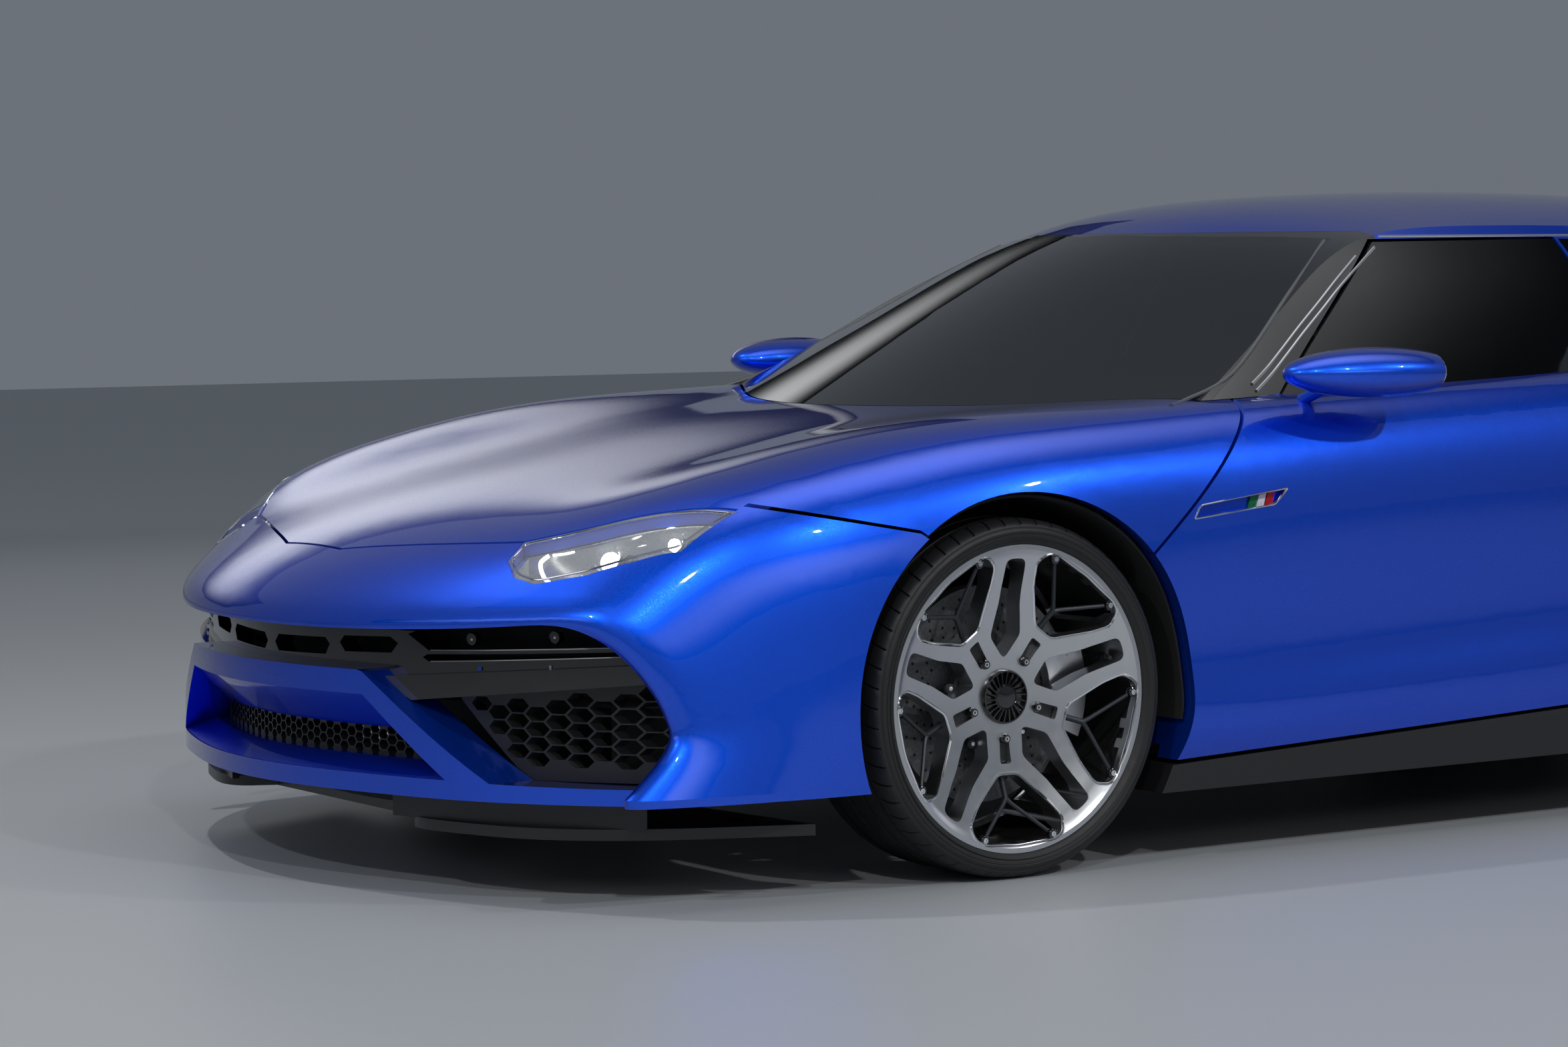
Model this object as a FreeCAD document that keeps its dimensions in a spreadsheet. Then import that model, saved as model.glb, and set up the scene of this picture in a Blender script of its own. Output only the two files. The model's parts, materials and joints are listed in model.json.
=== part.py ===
import FreeCAD, Part
import math
import os

import Sketcher

# A two-seat mid-engined supercar. +X points to the front, +Y to the car's left, +Z up.
# The origin is on the floor, under the middle of the car's length and width.

os.makedirs("parts", exist_ok=True)
doc = FreeCAD.newDocument("Supercar")
V = FreeCAD.Vector
LEFT, RIGHT = 1, -1

# Driving sizes, in millimetres and degrees.
SIZES = {
    "wheelbase": 2700,
    "front_overhang": 1105,
    "rear_overhang": 875,
    "half_width": 990,
    "roof_height": 1265,
    "belt_height": 885,
    "ground_gap": 133,
    "skirt_front": 190,
    "skirt_rear": 231,
    "panel_wall": 25,
    "roof_wall": 30,
    "glass_wall": 5,
    "door_wall": 110,
    "shut_gap": 6,
    "front_tyre_radius": 328.5,
    "front_tyre_width": 255,
    "front_face": 936,
    "rear_tyre_radius": 350,
    "rear_tyre_width": 325,
    "rear_face": 958,
    "rim_radius": 281,
    "rim_wall": 9,
    "arch_gap": 43,
    "liner_wall": 5,
    "liner_inboard": 512,
    "rear_liner_inboard": 600,
    "disc_radius": 200,
    "disc_wall": 34,
    "hub_radius": 74,
    "cap_radius": 51,
    "spoke_wall": 34,
    "seat_width": 520,
    "seat_spacing": 380,
    "tub_half_width": 840,
    "floor_wall": 40,
    "engine_length": 560,
    "engine_width": 620,
    "engine_height": 480,
    "fit_gap": 0.3,
}

sheet = doc.addObject("Spreadsheet::Sheet", "Sizes")
for row, (word, value) in enumerate(SIZES.items(), start=1):
    sheet.set(f"A{row}", word)
    sheet.set(f"B{row}", str(value))
    sheet.setAlias(f"B{row}", word)
doc.recompute()


class Length:
    """A number worked out from the sheet, with the expression that gives it."""

    def __init__(self, value, text):
        self.value, self.text = value, text

    def join(self, other, sign, value):
        text = other.text if isinstance(other, Length) else repr(float(other))
        return Length(value, f"({self.text} {sign} {text})")

    def __add__(self, other):
        return self.join(other, "+", self.value + number(other))

    def __sub__(self, other):
        return self.join(other, "-", self.value - number(other))

    def __mul__(self, other):
        return self.join(other, "*", self.value * number(other))

    def __truediv__(self, other):
        return self.join(other, "/", self.value / number(other))

    def __neg__(self):
        return Length(-self.value, f"(0 - {self.text})")


def number(quantity):
    return quantity.value if isinstance(quantity, Length) else float(quantity)


def size(word):
    return float(sheet.get(word))


def cell(word):
    return Length(size(word), f"Sizes.{word}")


FRONT = (size("wheelbase") + size("front_overhang") + size("rear_overhang")) / 2 - size("front_overhang")
REAR = FRONT - size("wheelbase")
WIDE = size("half_width") / 990
GAP = size("shut_gap")


# Surfaces from nets of poles

def knots(count, degree):
    inner = count - degree
    return [1.0 * k for k in range(inner + 1)], [degree + 1] + [1] * (inner - 1) + [degree + 1]


def net_face(net, degree_u=3, degree_v=3):
    """A face over a net of poles, clamped at its four edges."""
    knots_u, mults_u = knots(len(net), degree_u)
    knots_v, mults_v = knots(len(net[0]), degree_v)
    surface = Part.BSplineSurface()
    surface.buildFromPolesMultsKnots(net, mults_u, mults_v, knots_u, knots_v, False, False, degree_u, degree_v)
    return surface.toShape()


def sewn(faces):
    shell = Part.Shell(faces)
    shell.sewShape()
    solid = Part.Solid(shell)
    if solid.Volume < 0:
        solid.reverse()
    return solid


def mirrored_rows(rows):
    """The whole width of a net whose first row is the centreline."""
    other = [[V(p.x, -p.y, p.z) for p in row] for row in rows[:0:-1]]
    return other + rows


def sunk(rows, depth):
    """A net moved inwards by a depth, square to the net."""
    out = []
    for j, row in enumerate(rows):
        line = []
        for i, p in enumerate(row):
            along = row[min(i + 1, len(row) - 1)] - row[max(i - 1, 0)]
            across = rows[min(j + 1, len(rows) - 1)][i] - rows[max(j - 1, 0)][i]
            normal = across.cross(along)
            normal.normalize()
            line.append(p - normal * depth)
        out.append(line)
    return out


def prism(points, axis, low, high):
    """A closed outline of two coordinates swept along the third axis."""
    place = {"x": lambda a, b: V(low, a, b), "y": lambda a, b: V(a, low, b), "z": lambda a, b: V(a, b, low)}[axis]
    wire = Part.makePolygon([place(*p) for p in points + points[:1]])
    step = {"x": V(high - low, 0, 0), "y": V(0, high - low, 0), "z": V(0, 0, high - low)}[axis]
    return Part.Face(wire).extrude(step)


def box(low, high):
    return Part.makeBox(high[0] - low[0], high[1] - low[1], high[2] - low[2], V(*low))


def flip(shape):
    return shape.mirror(V(0, 0, 0), V(0, 1, 0))


def both_sides(shape):
    return Part.makeCompound([shape, flip(shape)])


def largest(shape):
    return max(shape.Solids, key=lambda s: s.Volume)


# The body's design lines, from the nose to the tail. Each pole is (x, y, z), with x from the
# front axle in the first list of a line and from the rear axle in its second.
BODY_LINES = {
    "centre": (
        [(1094, 0, 450), (1140, 0, 474), (1066, 0, 556), (900, 0, 634), (670, 0, 700), (380, 0, 758),
         (60, 0, 816), (-300, 0, 846), (-800, 0, 876)],
        [(1300, 0, 885), (750, 0, 900), (250, 0, 925), (-150, 0, 935), (-550, 0, 925), (-820, 0, 915), (-868, 0, 905)],
    ),
    "hood": (
        [(1062, 270, 452), (1100, 280, 478), (1030, 270, 550), (880, 255, 628), (660, 245, 696), (380, 235, 754),
         (60, 240, 814), (-320, 260, 845), (-800, 280, 876)],
        [(1300, 280, 885), (750, 280, 900), (250, 280, 925), (-150, 280, 935), (-550, 270, 925), (-820, 260, 915),
         (-868, 260, 905)],
    ),
    "valley": (
        [(968, 490, 458), (1008, 506, 484), (940, 502, 547), (836, 482, 620), (654, 452, 697), (370, 440, 756),
         (50, 455, 818), (-340, 490, 842), (-800, 540, 872)],
        [(1300, 540, 885), (750, 540, 900), (250, 540, 930), (-150, 530, 940), (-550, 510, 930), (-820, 480, 918),
         (-868, 470, 908)],
    ),
    "crest": (
        [(866, 650, 468), (905, 672, 494), (842, 668, 542), (765, 684, 622), (632, 695, 720), (340, 690, 800),
         (30, 730, 850), (-350, 760, 856), (-800, 800, 874)],
        [(1300, 815, 900), (750, 815, 930), (250, 790, 965), (-150, 770, 972), (-550, 730, 950), (-820, 690, 925),
         (-868, 670, 912)],
    ),
    "shoulder": (
        [(800, 745, 480), (836, 782, 500), (765, 800, 552), (664, 832, 634), (516, 868, 714), (290, 880, 768),
         (0, 905, 815), (-360, 905, 830), (-800, 915, 855)],
        [(1300, 920, 865), (750, 930, 890), (250, 940, 918), (-150, 932, 920), (-550, 880, 895), (-820, 820, 880),
         (-868, 790, 870)],
    ),
    "waist": (
        [(745, 795, 430), (780, 836, 436), (690, 866, 470), (560, 905, 560), (430, 940, 620), (260, 965, 665),
         (0, 982, 695), (-350, 985, 690), (-800, 990, 700)],
        [(1300, 990, 715), (750, 995, 735), (250, 1005, 770), (-150, 1002, 775), (-550, 955, 770), (-820, 880, 765),
         (-868, 850, 760)],
    ),
    "side": (
        [(700, 822, 360), (735, 858, 360), (655, 893, 380), (540, 925, 410), (415, 958, 430), (250, 975, 455),
         (0, 980, 480), (-350, 972, 500), (-800, 965, 500)],
        [(1300, 960, 500), (750, 968, 520), (250, 995, 560), (-150, 990, 580), (-550, 950, 590), (-820, 880, 595),
         (-868, 850, 600)],
    ),
    "ledge": (
        [(690, 832, 322), (723, 866, 322), (642, 900, 334), (530, 930, 351), (412, 960, 365), (250, 975, 383),
         (0, 975, 390), (-350, 960, 335), (-800, 948, 350)],
        [(1300, 950, 380), (750, 965, 405), (250, 990, 470), (-150, 984, 490), (-550, 938, 505), (-820, 873, 512),
         (-868, 845, 518)],
    ),
    "crease": (
        [(680, 842, 285), (712, 875, 283), (630, 906, 288), (520, 935, 293), (410, 962, 300), (250, 975, 305),
         (0, 984, 285), (-350, 988, 258), (-800, 993, 296)],
        [(1300, 993, 326), (750, 992, 350), (250, 985, 380), (-150, 975, 400), (-550, 925, 420), (-820, 865, 430),
         (-868, 840, 435)],
    ),
    "sill": (
        [(790, 848, 200), (815, 878, 198), (700, 912, 198), (540, 938, 198), (405, 955, 198), (250, 955, 198),
         (0, 955, 194), (-350, 950, 188), (-800, 956, 198)],
        [(1300, 964, 215), (750, 960, 225), (250, 955, 235), (-150, 945, 250), (-550, 905, 270), (-820, 850, 280),
         (-868, 830, 285)],
    ),
}
MOUTH_DEPTH_X = 560
TAIL_DEPTH_X = -760


def body_net():
    rows = []
    for front, rear in BODY_LINES.values():
        row = [V(FRONT + x, y * WIDE, z) for x, y, z in front] + [V(REAR + x, y * WIDE, z) for x, y, z in rear]
        rows.append(row)
    return rows


def capped_tube(rows, low, front_x, rear_x, draw_in=0.93):
    """The solid under a body net, open ends drawn in to flat caps and the base at one height."""
    base = [V(p.x, p.y, low) for p in rows[-1]]
    full = mirrored_rows(rows)
    left, right = [V(p.x, -p.y, p.z) for p in base], base
    faces = [net_face(full)]
    for low_edge, high_edge in ((left, full[0]), (right, full[-1])):
        faces.append(net_face([low_edge, high_edge], 1, 3))
    for end, x in ((0, front_x), (-1, rear_x)):
        outer = [row[end] for row in full]
        inner = [V(x, p.y * draw_in, p.z if p.z > low + 1 else low) for p in outer]
        faces.append(net_face([outer, inner], 1, 3))
        low_outer = (left[end], right[end])
        low_inner = tuple(V(x, p.y * draw_in, low) for p in low_outer)
        for k, a in enumerate((0, -1)):
            quad = [outer[a], inner[a], low_inner[k], low_outer[k]]
            faces.append(net_face([[quad[0], quad[1]], [quad[3], quad[2]]], 1, 1))
        curve = net_face([outer, inner], 1, 3).Edges
        rim = [e for e in curve if all(abs(v.X - x) < 0.01 for v in e.Vertexes)]
        sides = [Part.LineSegment(inner[0], low_inner[0]).toShape(), Part.LineSegment(inner[-1], low_inner[1]).toShape()]
        bottom = Part.LineSegment(low_inner[0], low_inner[1]).toShape()
        faces.append(Part.Face(Part.Wire(Part.__sortEdges__(rim[:1] + sides + [bottom]))))
    edges = []
    for line in (left, right):
        edges += [e for e in net_face([line, [p + V(0, 0, 10) for p in line]], 1, 3).Edges
                  if all(abs(v.Z - low) < 0.01 for v in e.Vertexes)]
    for end, x in ((0, front_x), (-1, rear_x)):
        for p in (left[end], right[end]):
            edges.append(Part.LineSegment(p, V(x, p.y * draw_in, low)).toShape())
        edges.append(Part.LineSegment(V(x, left[end].y * draw_in, low), V(x, right[end].y * draw_in, low)).toShape())
    faces.append(Part.Face(Part.Wire(Part.__sortEdges__(edges))))
    return sewn(faces)


BODY_ROWS = body_net()
FLOOR = size("ground_gap")
BODY = capped_tube(BODY_ROWS, FLOOR, FRONT + MOUTH_DEPTH_X, REAR + TAIL_DEPTH_X)
FIT = size("fit_gap")
CORE_FRONT_X, CORE_REAR_X = FRONT + 1400, REAR - 1100
BODY_CORE = capped_tube(sunk(BODY_ROWS, size("panel_wall")), FLOOR - 20, CORE_FRONT_X, CORE_REAR_X, 1.0)
BODY_FIT = capped_tube(sunk(BODY_ROWS, size("panel_wall") + FIT), FLOOR - 20, CORE_FRONT_X, CORE_REAR_X, 1.0)

# The greenhouse's design lines: the top from the windscreen base over the roof to the tail, and
# the foot of the side glass below the belt.
CABIN_FOOT = size("belt_height") - 95
CABIN_LINES = {
    "centre": (
        [(-100, 0, None), (-420, 0, 966), (-740, 0, 1134), (-1010, 0, 1238), (-1400, 0, 1268), (-1850, 0, 1276)],
        [(350, 0, 1262), (-150, 0, 1195), (-500, 0, 1075), (-760, 0, 965), (-840, 0, None)],
    ),
    "mid": (
        [(-160, 330, None), (-480, 300, 962), (-790, 275, 1128), (-1040, 260, 1230), (-1410, 265, 1260),
         (-1850, 270, 1268)],
        [(350, 265, 1254), (-150, 255, 1188), (-500, 245, 1070), (-760, 235, 962), (-840, 230, None)],
    ),
    "edge": (
        [(-300, 650, None), (-610, 590, 945), (-890, 520, 1100), (-1100, 470, 1196), (-1420, 470, 1225),
         (-1850, 480, 1232)],
        [(350, 480, 1215), (-150, 470, 1150), (-500, 450, 1042), (-760, 430, 950), (-840, 425, None)],
    ),
    "rail": (
        [(-400, 862, None), (-610, 775, 892), (-860, 675, 1035), (-1100, 578, 1180), (-1420, 575, 1190),
         (-1850, 590, 1188)],
        [(350, 595, 1168), (-150, 585, 1110), (-500, 560, 1015), (-760, 535, 938), (-840, 530, None)],
    ),
    "glass": (
        [(-400, 866, None), (-620, 815, 860), (-870, 768, 930), (-1110, 740, 1030), (-1430, 745, 1040),
         (-1850, 755, 1040)],
        [(350, 745, 1035), (-150, 710, 1010), (-500, 665, 965), (-760, 620, 915), (-840, 610, None)],
    ),
    "foot": (
        [(-400, 870, None), (-620, 885, None), (-870, 895, None), (-1110, 900, None), (-1430, 905, None),
         (-1850, 905, None)],
        [(350, 890, None), (-150, 840, None), (-500, 775, None), (-760, 710, None), (-840, 690, None)],
    ),
}


DRAWN_ROOF, DRAWN_BELT = 1265, 885


def lifted(z):
    """A height of the drawn greenhouse, carried to the wanted roof height."""
    if z <= DRAWN_BELT:
        return z
    return DRAWN_BELT + (z - DRAWN_BELT) * (size("roof_height") - DRAWN_BELT) / (DRAWN_ROOF - DRAWN_BELT)


def cabin_net(foot):
    rows = []
    for front, rear in CABIN_LINES.values():
        row = [(FRONT + x, y, z) for x, y, z in front] + [(REAR + x, y, z) for x, y, z in rear]
        rows.append([V(x, y * WIDE, foot if z is None else lifted(z)) for x, y, z in row])
    return rows


def domed(rows, foot):
    """The solid under a greenhouse net: one top face, two side faces and a flat base."""
    top = mirrored_rows(rows[:4])
    side = rows[3:]
    left = [[V(p.x, -p.y, p.z) for p in row] for row in side]
    faces = [net_face(top), net_face(side, 2, 3), net_face(left, 2, 3)]
    rim = [e for f in faces for e in f.Edges if e.BoundBox.ZMax < foot + 0.01 and e.Length > 0.1]
    faces.append(Part.Face(Part.Wire(Part.__sortEdges__(rim))))
    return sewn(faces)


CABIN_ROWS = cabin_net(CABIN_FOOT)


def cabin_core(depth):
    rows = sunk(CABIN_ROWS, depth)
    for row in rows:
        for i, p in enumerate(row):
            low = CABIN_ROWS[rows.index(row)][i].z <= CABIN_FOOT
            row[i] = V(p.x, p.y, CABIN_FOOT) if low else p
    return domed(rows, CABIN_FOOT)


CABIN = domed(CABIN_ROWS, CABIN_FOOT)
CABIN_GLASS_CORE = cabin_core(size("glass_wall"))
CABIN_ROOF_CORE = cabin_core(size("roof_wall"))
SHELL = BODY.cut(BODY_CORE)
CABIN_SKIN = CABIN.cut(CABIN_GLASS_CORE)
CABIN_ROOF = CABIN.cut(CABIN_ROOF_CORE)
CABIN_CLEAR = cabin_core(-GAP)
CABIN_SEAT = cabin_core(-size("fit_gap"))
HIGH, OUT = 1500, 1300

parts = {}


def keep(label, shape):
    """A sub-part given by its own shape."""
    feature = doc.addObject("Part::Feature", label)
    feature.Label = label
    feature.Shape = shape
    parts[label] = feature
    return feature


# Wheels and arches

FRONT_AXLE_Z, REAR_AXLE_Z = size("front_tyre_radius"), size("rear_tyre_radius")
FRONT_ARCH = FRONT_AXLE_Z + size("arch_gap")
REAR_ARCH = REAR_AXLE_Z + size("arch_gap")
FRONT_TRACK = size("front_face") + 9 - size("front_tyre_width") / 2
REAR_TRACK = size("rear_face") + 9 - size("rear_tyre_width") / 2


def arch_drum(x, z, radius, inner, outer=OUT):
    return Part.makeCylinder(radius, outer - inner, V(x, inner, z), V(0, 1, 0))


FRONT_DRUM = arch_drum(FRONT, FRONT_AXLE_Z, FRONT_ARCH + FIT, size("liner_inboard") - 8)
REAR_DRUM = arch_drum(REAR, REAR_AXLE_Z, REAR_ARCH + FIT, size("rear_liner_inboard") - 8)
CLEAR_DRUM = arch_drum(FRONT, FRONT_AXLE_Z, FRONT_ARCH + GAP, size("liner_inboard") - 8)
DRUMS = [FRONT_DRUM, REAR_DRUM, flip(FRONT_DRUM), flip(REAR_DRUM)]

# The hood's seam in plan, from the centre along the headlamp's upper edge to its outer tip, and
# the shut lines in side view.
SEAM = [(946, 0), (946, 109), (900, 240), (796, 523), (717, 637), (627, 744), (542, 833)]
LAMP_TIP_X, LAMP_TIP_Z = 542, 701
ARCH_SEAM = (232, 643)
SHUT_LOW, SHUT_HIGH = (-276, 579), (-583, 846)
DOOR_REAR = [(-1640, 1000), (-1640, 890), (-1700, 600), (-1570, 0)]


def lid_region(grow):
    """All over the hood: inboard of the lamps' seam, and over the arch seam behind the lamps' tips."""
    side = [(FRONT + x + grow, y * WIDE) for x, y in SEAM]
    side.append((REAR, side[-1][1]))
    plan = prism(side + [(x, -y) for x, y in side[:0:-1]], "z", 200, HIGH)
    rise = (SHUT_HIGH[1] - SHUT_LOW[1]) / (SHUT_HIGH[0] - SHUT_LOW[0])
    top_x = SHUT_LOW[0] + (HIGH - SHUT_LOW[1]) / rise
    lean = grow * math.hypot(1, rise) / abs(rise)
    shut = [(FRONT + top_x - lean, HIGH), (FRONT + SHUT_LOW[0] - lean, SHUT_LOW[1]), (FRONT, FRONT_AXLE_Z + 150)]
    ahead = prism([(FRONT + 1200, HIGH)] + shut + [(FRONT + 1200, 200)], "y", -OUT, OUT)
    tip_x = FRONT + LAMP_TIP_X + grow
    over = prism([(tip_x, HIGH)] + shut + [(FRONT + ARCH_SEAM[0], ARCH_SEAM[1] - grow), (tip_x, LAMP_TIP_Z - grow)],
                 "y", -OUT, OUT)
    return plan.common(ahead).fuse(over)


def lamp_region(grow):
    """The headlamp's outline seen from above."""
    upper = [(796, 526), (717, 639), (627, 746), (544, 836)]
    lower = [(654, 820), (719, 772), (780, 716), (841, 639), (854, 591), (840, 544)]
    outline = [(FRONT + x, y * WIDE) for x, y in upper + lower]
    cx = sum(p[0] for p in outline) / len(outline)
    cy = sum(p[1] for p in outline) / len(outline)
    grown = []
    for x, y in outline:
        d = math.hypot(x - cx, y - cy)
        grown.append((x + (x - cx) / d * grow, y + (y - cy) / d * grow))
    return prism(grown, "z", 300, HIGH)


NOSE_FOOT = 184
LID = lid_region(-GAP / 2)
LID_HOLE = lid_region(GAP / 2)
LAMP_HOLE = both_sides(lamp_region(2))

front_lid = SHELL.common(LID).cut([CABIN_CLEAR, CLEAR_DRUM, flip(CLEAR_DRUM)])
keep("front_lid", largest(front_lid))

nose = SHELL.cut([LID_HOLE, LAMP_HOLE] + DRUMS).common(box((FRONT + 100, -OUT, 0), (FRONT + 1400, OUT, HIGH)))
nose = nose.cut(box((FRONT + 100, -OUT, 0), (FRONT + 1400, OUT, NOSE_FOOT)))
keep("nose_panel", largest(nose))

lamps = BODY.cut(BODY_CORE).common(lamp_region(0)).cut(LID_HOLE)
keep("headlamp_covers", both_sides(largest(lamps)))

# Doors
DOOR_SIDE_Y = size("half_width") - size("door_wall") - 70


def skirt_top(x):
    """The height of the skirt's upper edge, x from the front axle."""
    (front_x, low), (rear_x, high) = (-350, size("skirt_front")), (-1337, size("skirt_rear"))
    return low + (x - front_x) * (high - low) / (rear_x - front_x)


def door_outline(grow):
    dx, dz = SHUT_HIGH[0] - SHUT_LOW[0], SHUT_HIGH[1] - SHUT_LOW[1]
    lean = grow * math.hypot(dx, dz) / dz
    up = (HIGH - SHUT_HIGH[1]) / dz * dx
    outline = [(SHUT_HIGH[0] + up + lean, HIGH), (SHUT_HIGH[0] + lean, SHUT_HIGH[1]),
               (SHUT_LOW[0] + lean, SHUT_LOW[1]), (-200, SHUT_LOW[1]), (-200, skirt_top(-200) - grow)]
    rear = [(x - grow, z) for x, z in DOOR_REAR]
    foot_z = skirt_top(DOOR_REAR[3][0]) - grow
    ratio = (foot_z - rear[2][1]) / (rear[3][1] - rear[2][1])
    foot = (rear[2][0] + (rear[3][0] - rear[2][0]) * ratio, foot_z)
    return [(FRONT + x, z) for x, z in outline + [foot, rear[2], rear[1], (rear[0][0], HIGH)]]


def door_region(grow, inner):
    return prism(door_outline(grow), "y", inner, OUT)


PILLAR_FOOT = CABIN_CLEAR.common(box((FRONT - 660, 0, 0), (FRONT, OUT, HIGH)))
door = BODY.common(door_region(-GAP / 2, DOOR_SIDE_Y)).cut([CABIN_SEAT, PILLAR_FOOT, CLEAR_DRUM])
MARKER = [(-376, 642), (-392, 666), (-604, 692), (-572, 662)]
MARKER_TAIL = [(-572, 664), (-604, 692), (-715, 694)]
recess = prism([(FRONT + x, z) for x, z in MARKER], "y", size("half_width") - 32, OUT)
groove = prism([(FRONT + x, z) for x, z in MARKER_TAIL], "y", size("half_width") - 16, OUT)
# Rebates in its inner corners, which keep the opening door off the skirt and the rear quarter
SILL_REBATE, REAR_REBATE, REBATE_Y = 26, 20, 892
front_foot = box((FRONT - 640, 0, 0), (FRONT - 200, REBATE_Y, size("skirt_front") + SILL_REBATE))
rear_edge_line = [(FRONT + x + REAR_REBATE, z) for x, z in DOOR_REAR[1:]]
rear_corner = prism(rear_edge_line + [(FRONT - 1900, 0), (FRONT - 1900, DOOR_REAR[1][1])], "y", 0, REBATE_Y)
DOOR = largest(door.cut([recess, groove, front_foot, rear_corner]))
keep("door_left", DOOR)
keep("door_right", flip(DOOR))
DOOR_HOLE = both_sides(door_region(GAP / 2, 0.5))

# The side window: ahead the chrome strip's line, above the roof rail
WINDOW = [(-645, 870), (-1150, 1155), (-1640, 1160), (-1645, 860)]
TAIL_WINDOW = [(-1660, 860), (-1655, 1160), (-2050, 1150), (-2330, 870)]


def window_region(outline, grow):
    cx = sum(p[0] for p in outline) / len(outline)
    cz = sum(p[1] for p in outline) / len(outline)
    grown = []
    for x, z in outline:
        grown.append((FRONT + x + math.copysign(grow, x - cx), lifted(z) + grow if z > cz else z - 60))
    return prism(grown, "y", 300, OUT)


window = CABIN_SKIN.common(window_region(WINDOW, 0)).cut(BODY)
DOOR_GLASS = largest(window)
keep("door_glass_left", DOOR_GLASS)
keep("door_glass_right", flip(DOOR_GLASS))
quarter_window = CABIN_SKIN.common(window_region(TAIL_WINDOW, 0)).cut(BODY)
keep("quarter_glass", both_sides(largest(quarter_window)))
WINDOW_HOLES = both_sides(window_region(WINDOW, GAP).fuse(window_region(TAIL_WINDOW, FIT)))

# Windscreen: below the header, between the pillars
HEADER = [(-868, 0), (-900, 200), (-955, 330), (-1030, 450), (-1090, 545)]


def screen_region(grow):
    side = [(FRONT + x - grow, y * WIDE) for x, y in HEADER]
    foot = [(-1075, 548), (-870, 662), (-640, 775), (-500, 835), (-400, 850)]
    side += [(FRONT + x, (y + grow) * WIDE) for x, y in foot]
    side.append((FRONT, (850 + grow) * WIDE))
    return prism(side + [(x, -y) for x, y in side[::-1]], "z", 500, HIGH)


screen = CABIN_SKIN.common(screen_region(-FIT)).cut(BODY)
keep("windscreen", largest(screen))

# The engine cover in the fastback
COVER = [(120, 400), (-640, 360)]
LATCH_WALL = 8


def cover_region(grow):
    (front_x, front_y), (rear_x, rear_y) = COVER
    half = [(REAR + front_x + grow, front_y + grow), (REAR + rear_x - grow, rear_y + grow)]
    return prism(half + [(x, -y) for x, y in half[::-1]], "z", 700, HIGH)


cover = CABIN_ROOF.common(cover_region(-GAP / 2))
keep("engine_cover", largest(cover))

roof = CABIN_ROOF.cut([BODY, WINDOW_HOLES, screen_region(0), cover_region(GAP / 2)])
PILLAR_REAR_X, PILLAR_TOP = FRONT - 1165, lifted(1178)
roof_low = box((PILLAR_REAR_X, -OUT, 0), (FRONT, OUT, PILLAR_TOP))
roof_top = box((PILLAR_REAR_X, 0, 0), (FRONT, OUT, PILLAR_TOP - FIT))
keep("roof_panel", largest(roof.cut(roof_low)))
keep("pillar_trims", both_sides(largest(roof.common(roof_top))))
latch = cabin_core(size("roof_wall") + FIT).cut(cabin_core(size("roof_wall") + FIT + LATCH_WALL))
keep("lid_latch", largest(latch.common(box((REAR - 690, -30, 950), (REAR - 590, 30, HIGH)))))



def skirt_region(grow, inner):
    """All below the skirt's upper edge, level behind the rear axle."""
    rear = skirt_top(REAR - FRONT) + grow
    line = [(FRONT, skirt_top(0) + grow), (REAR, rear), (REAR - 1200, rear)]
    return prism(line + [(REAR - 1200, 0), (FRONT, 0)], "y", inner, OUT)


# Rear quarters: behind the doors to the tail
quarters = SHELL.cut([DOOR_HOLE, CABIN_SEAT] + DRUMS).common(box((-3000, -OUT, 0), (FRONT - 400, OUT, HIGH)))
quarters = quarters.cut(skirt_region(0, -OUT))
keep("rear_quarters", largest(quarters))



# Bodies drawn as sketches on their own origin planes

def origin_part(body, role):
    return next(f for f in body.Origin.OriginFeatures if f.Role == role)


def outline(body, name, role, points, offset=0):
    """A closed outline of straight edges whose corners are held to the sheet."""
    sketch = body.newObject("Sketcher::SketchObject", name)
    sketch.AttachmentSupport = [(origin_part(body, role), "")]
    sketch.MapMode = "FlatFace"
    sketch.AttachmentOffset = FreeCAD.Placement(V(0, 0, number(offset)), FreeCAD.Rotation())
    if isinstance(offset, Length):
        sketch.setExpression("AttachmentOffset.Base.z", offset.text)
    corners = [V(number(a), number(b), 0) for a, b in points]
    last = len(corners) - 1
    for k, corner in enumerate(corners):
        sketch.addGeometry(Part.LineSegment(corner, corners[k + 1 if k < last else 0]), False)
    for k in range(len(corners)):
        sketch.addConstraint(Sketcher.Constraint("Coincident", k, 2, k + 1 if k < last else 0, 1))
        for kind, quantity in zip(("DistanceX", "DistanceY"), points[k]):
            index = sketch.addConstraint(Sketcher.Constraint(kind, -1, 1, k, 1, number(quantity)))
            if isinstance(quantity, Length):
                sketch.setExpression(f"Constraints[{index}]", quantity.text)
    return sketch


def place(feature, x, y, z, turn=0):
    feature.Placement = FreeCAD.Placement(V(x, y, z), FreeCAD.Rotation(V(0, 0, 1), turn))


def turned(label, points):
    """A body turned about its own Y axis from a profile of (radius, along) corners."""
    body = doc.addObject("PartDesign::Body", label)
    body.Label = label
    turn = body.newObject("PartDesign::Revolution", label + "_turn")
    turn.Profile = outline(body, label + "_profile", "XY_Plane", points)
    turn.ReferenceAxis = (turn.Profile[0], ["V_Axis"])
    turn.Angle = 360
    parts[label] = body
    return body


def around(body, label, cut, count):
    """A cut repeated round the body's Y axis."""
    ring = body.newObject("PartDesign::PolarPattern", label)
    ring.Originals = [cut]
    ring.Axis = (origin_part(body, "Y_Axis"), [""])
    ring.Angle = 360
    ring.Occurrences = count
    body.Tip = ring
    return ring


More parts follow.
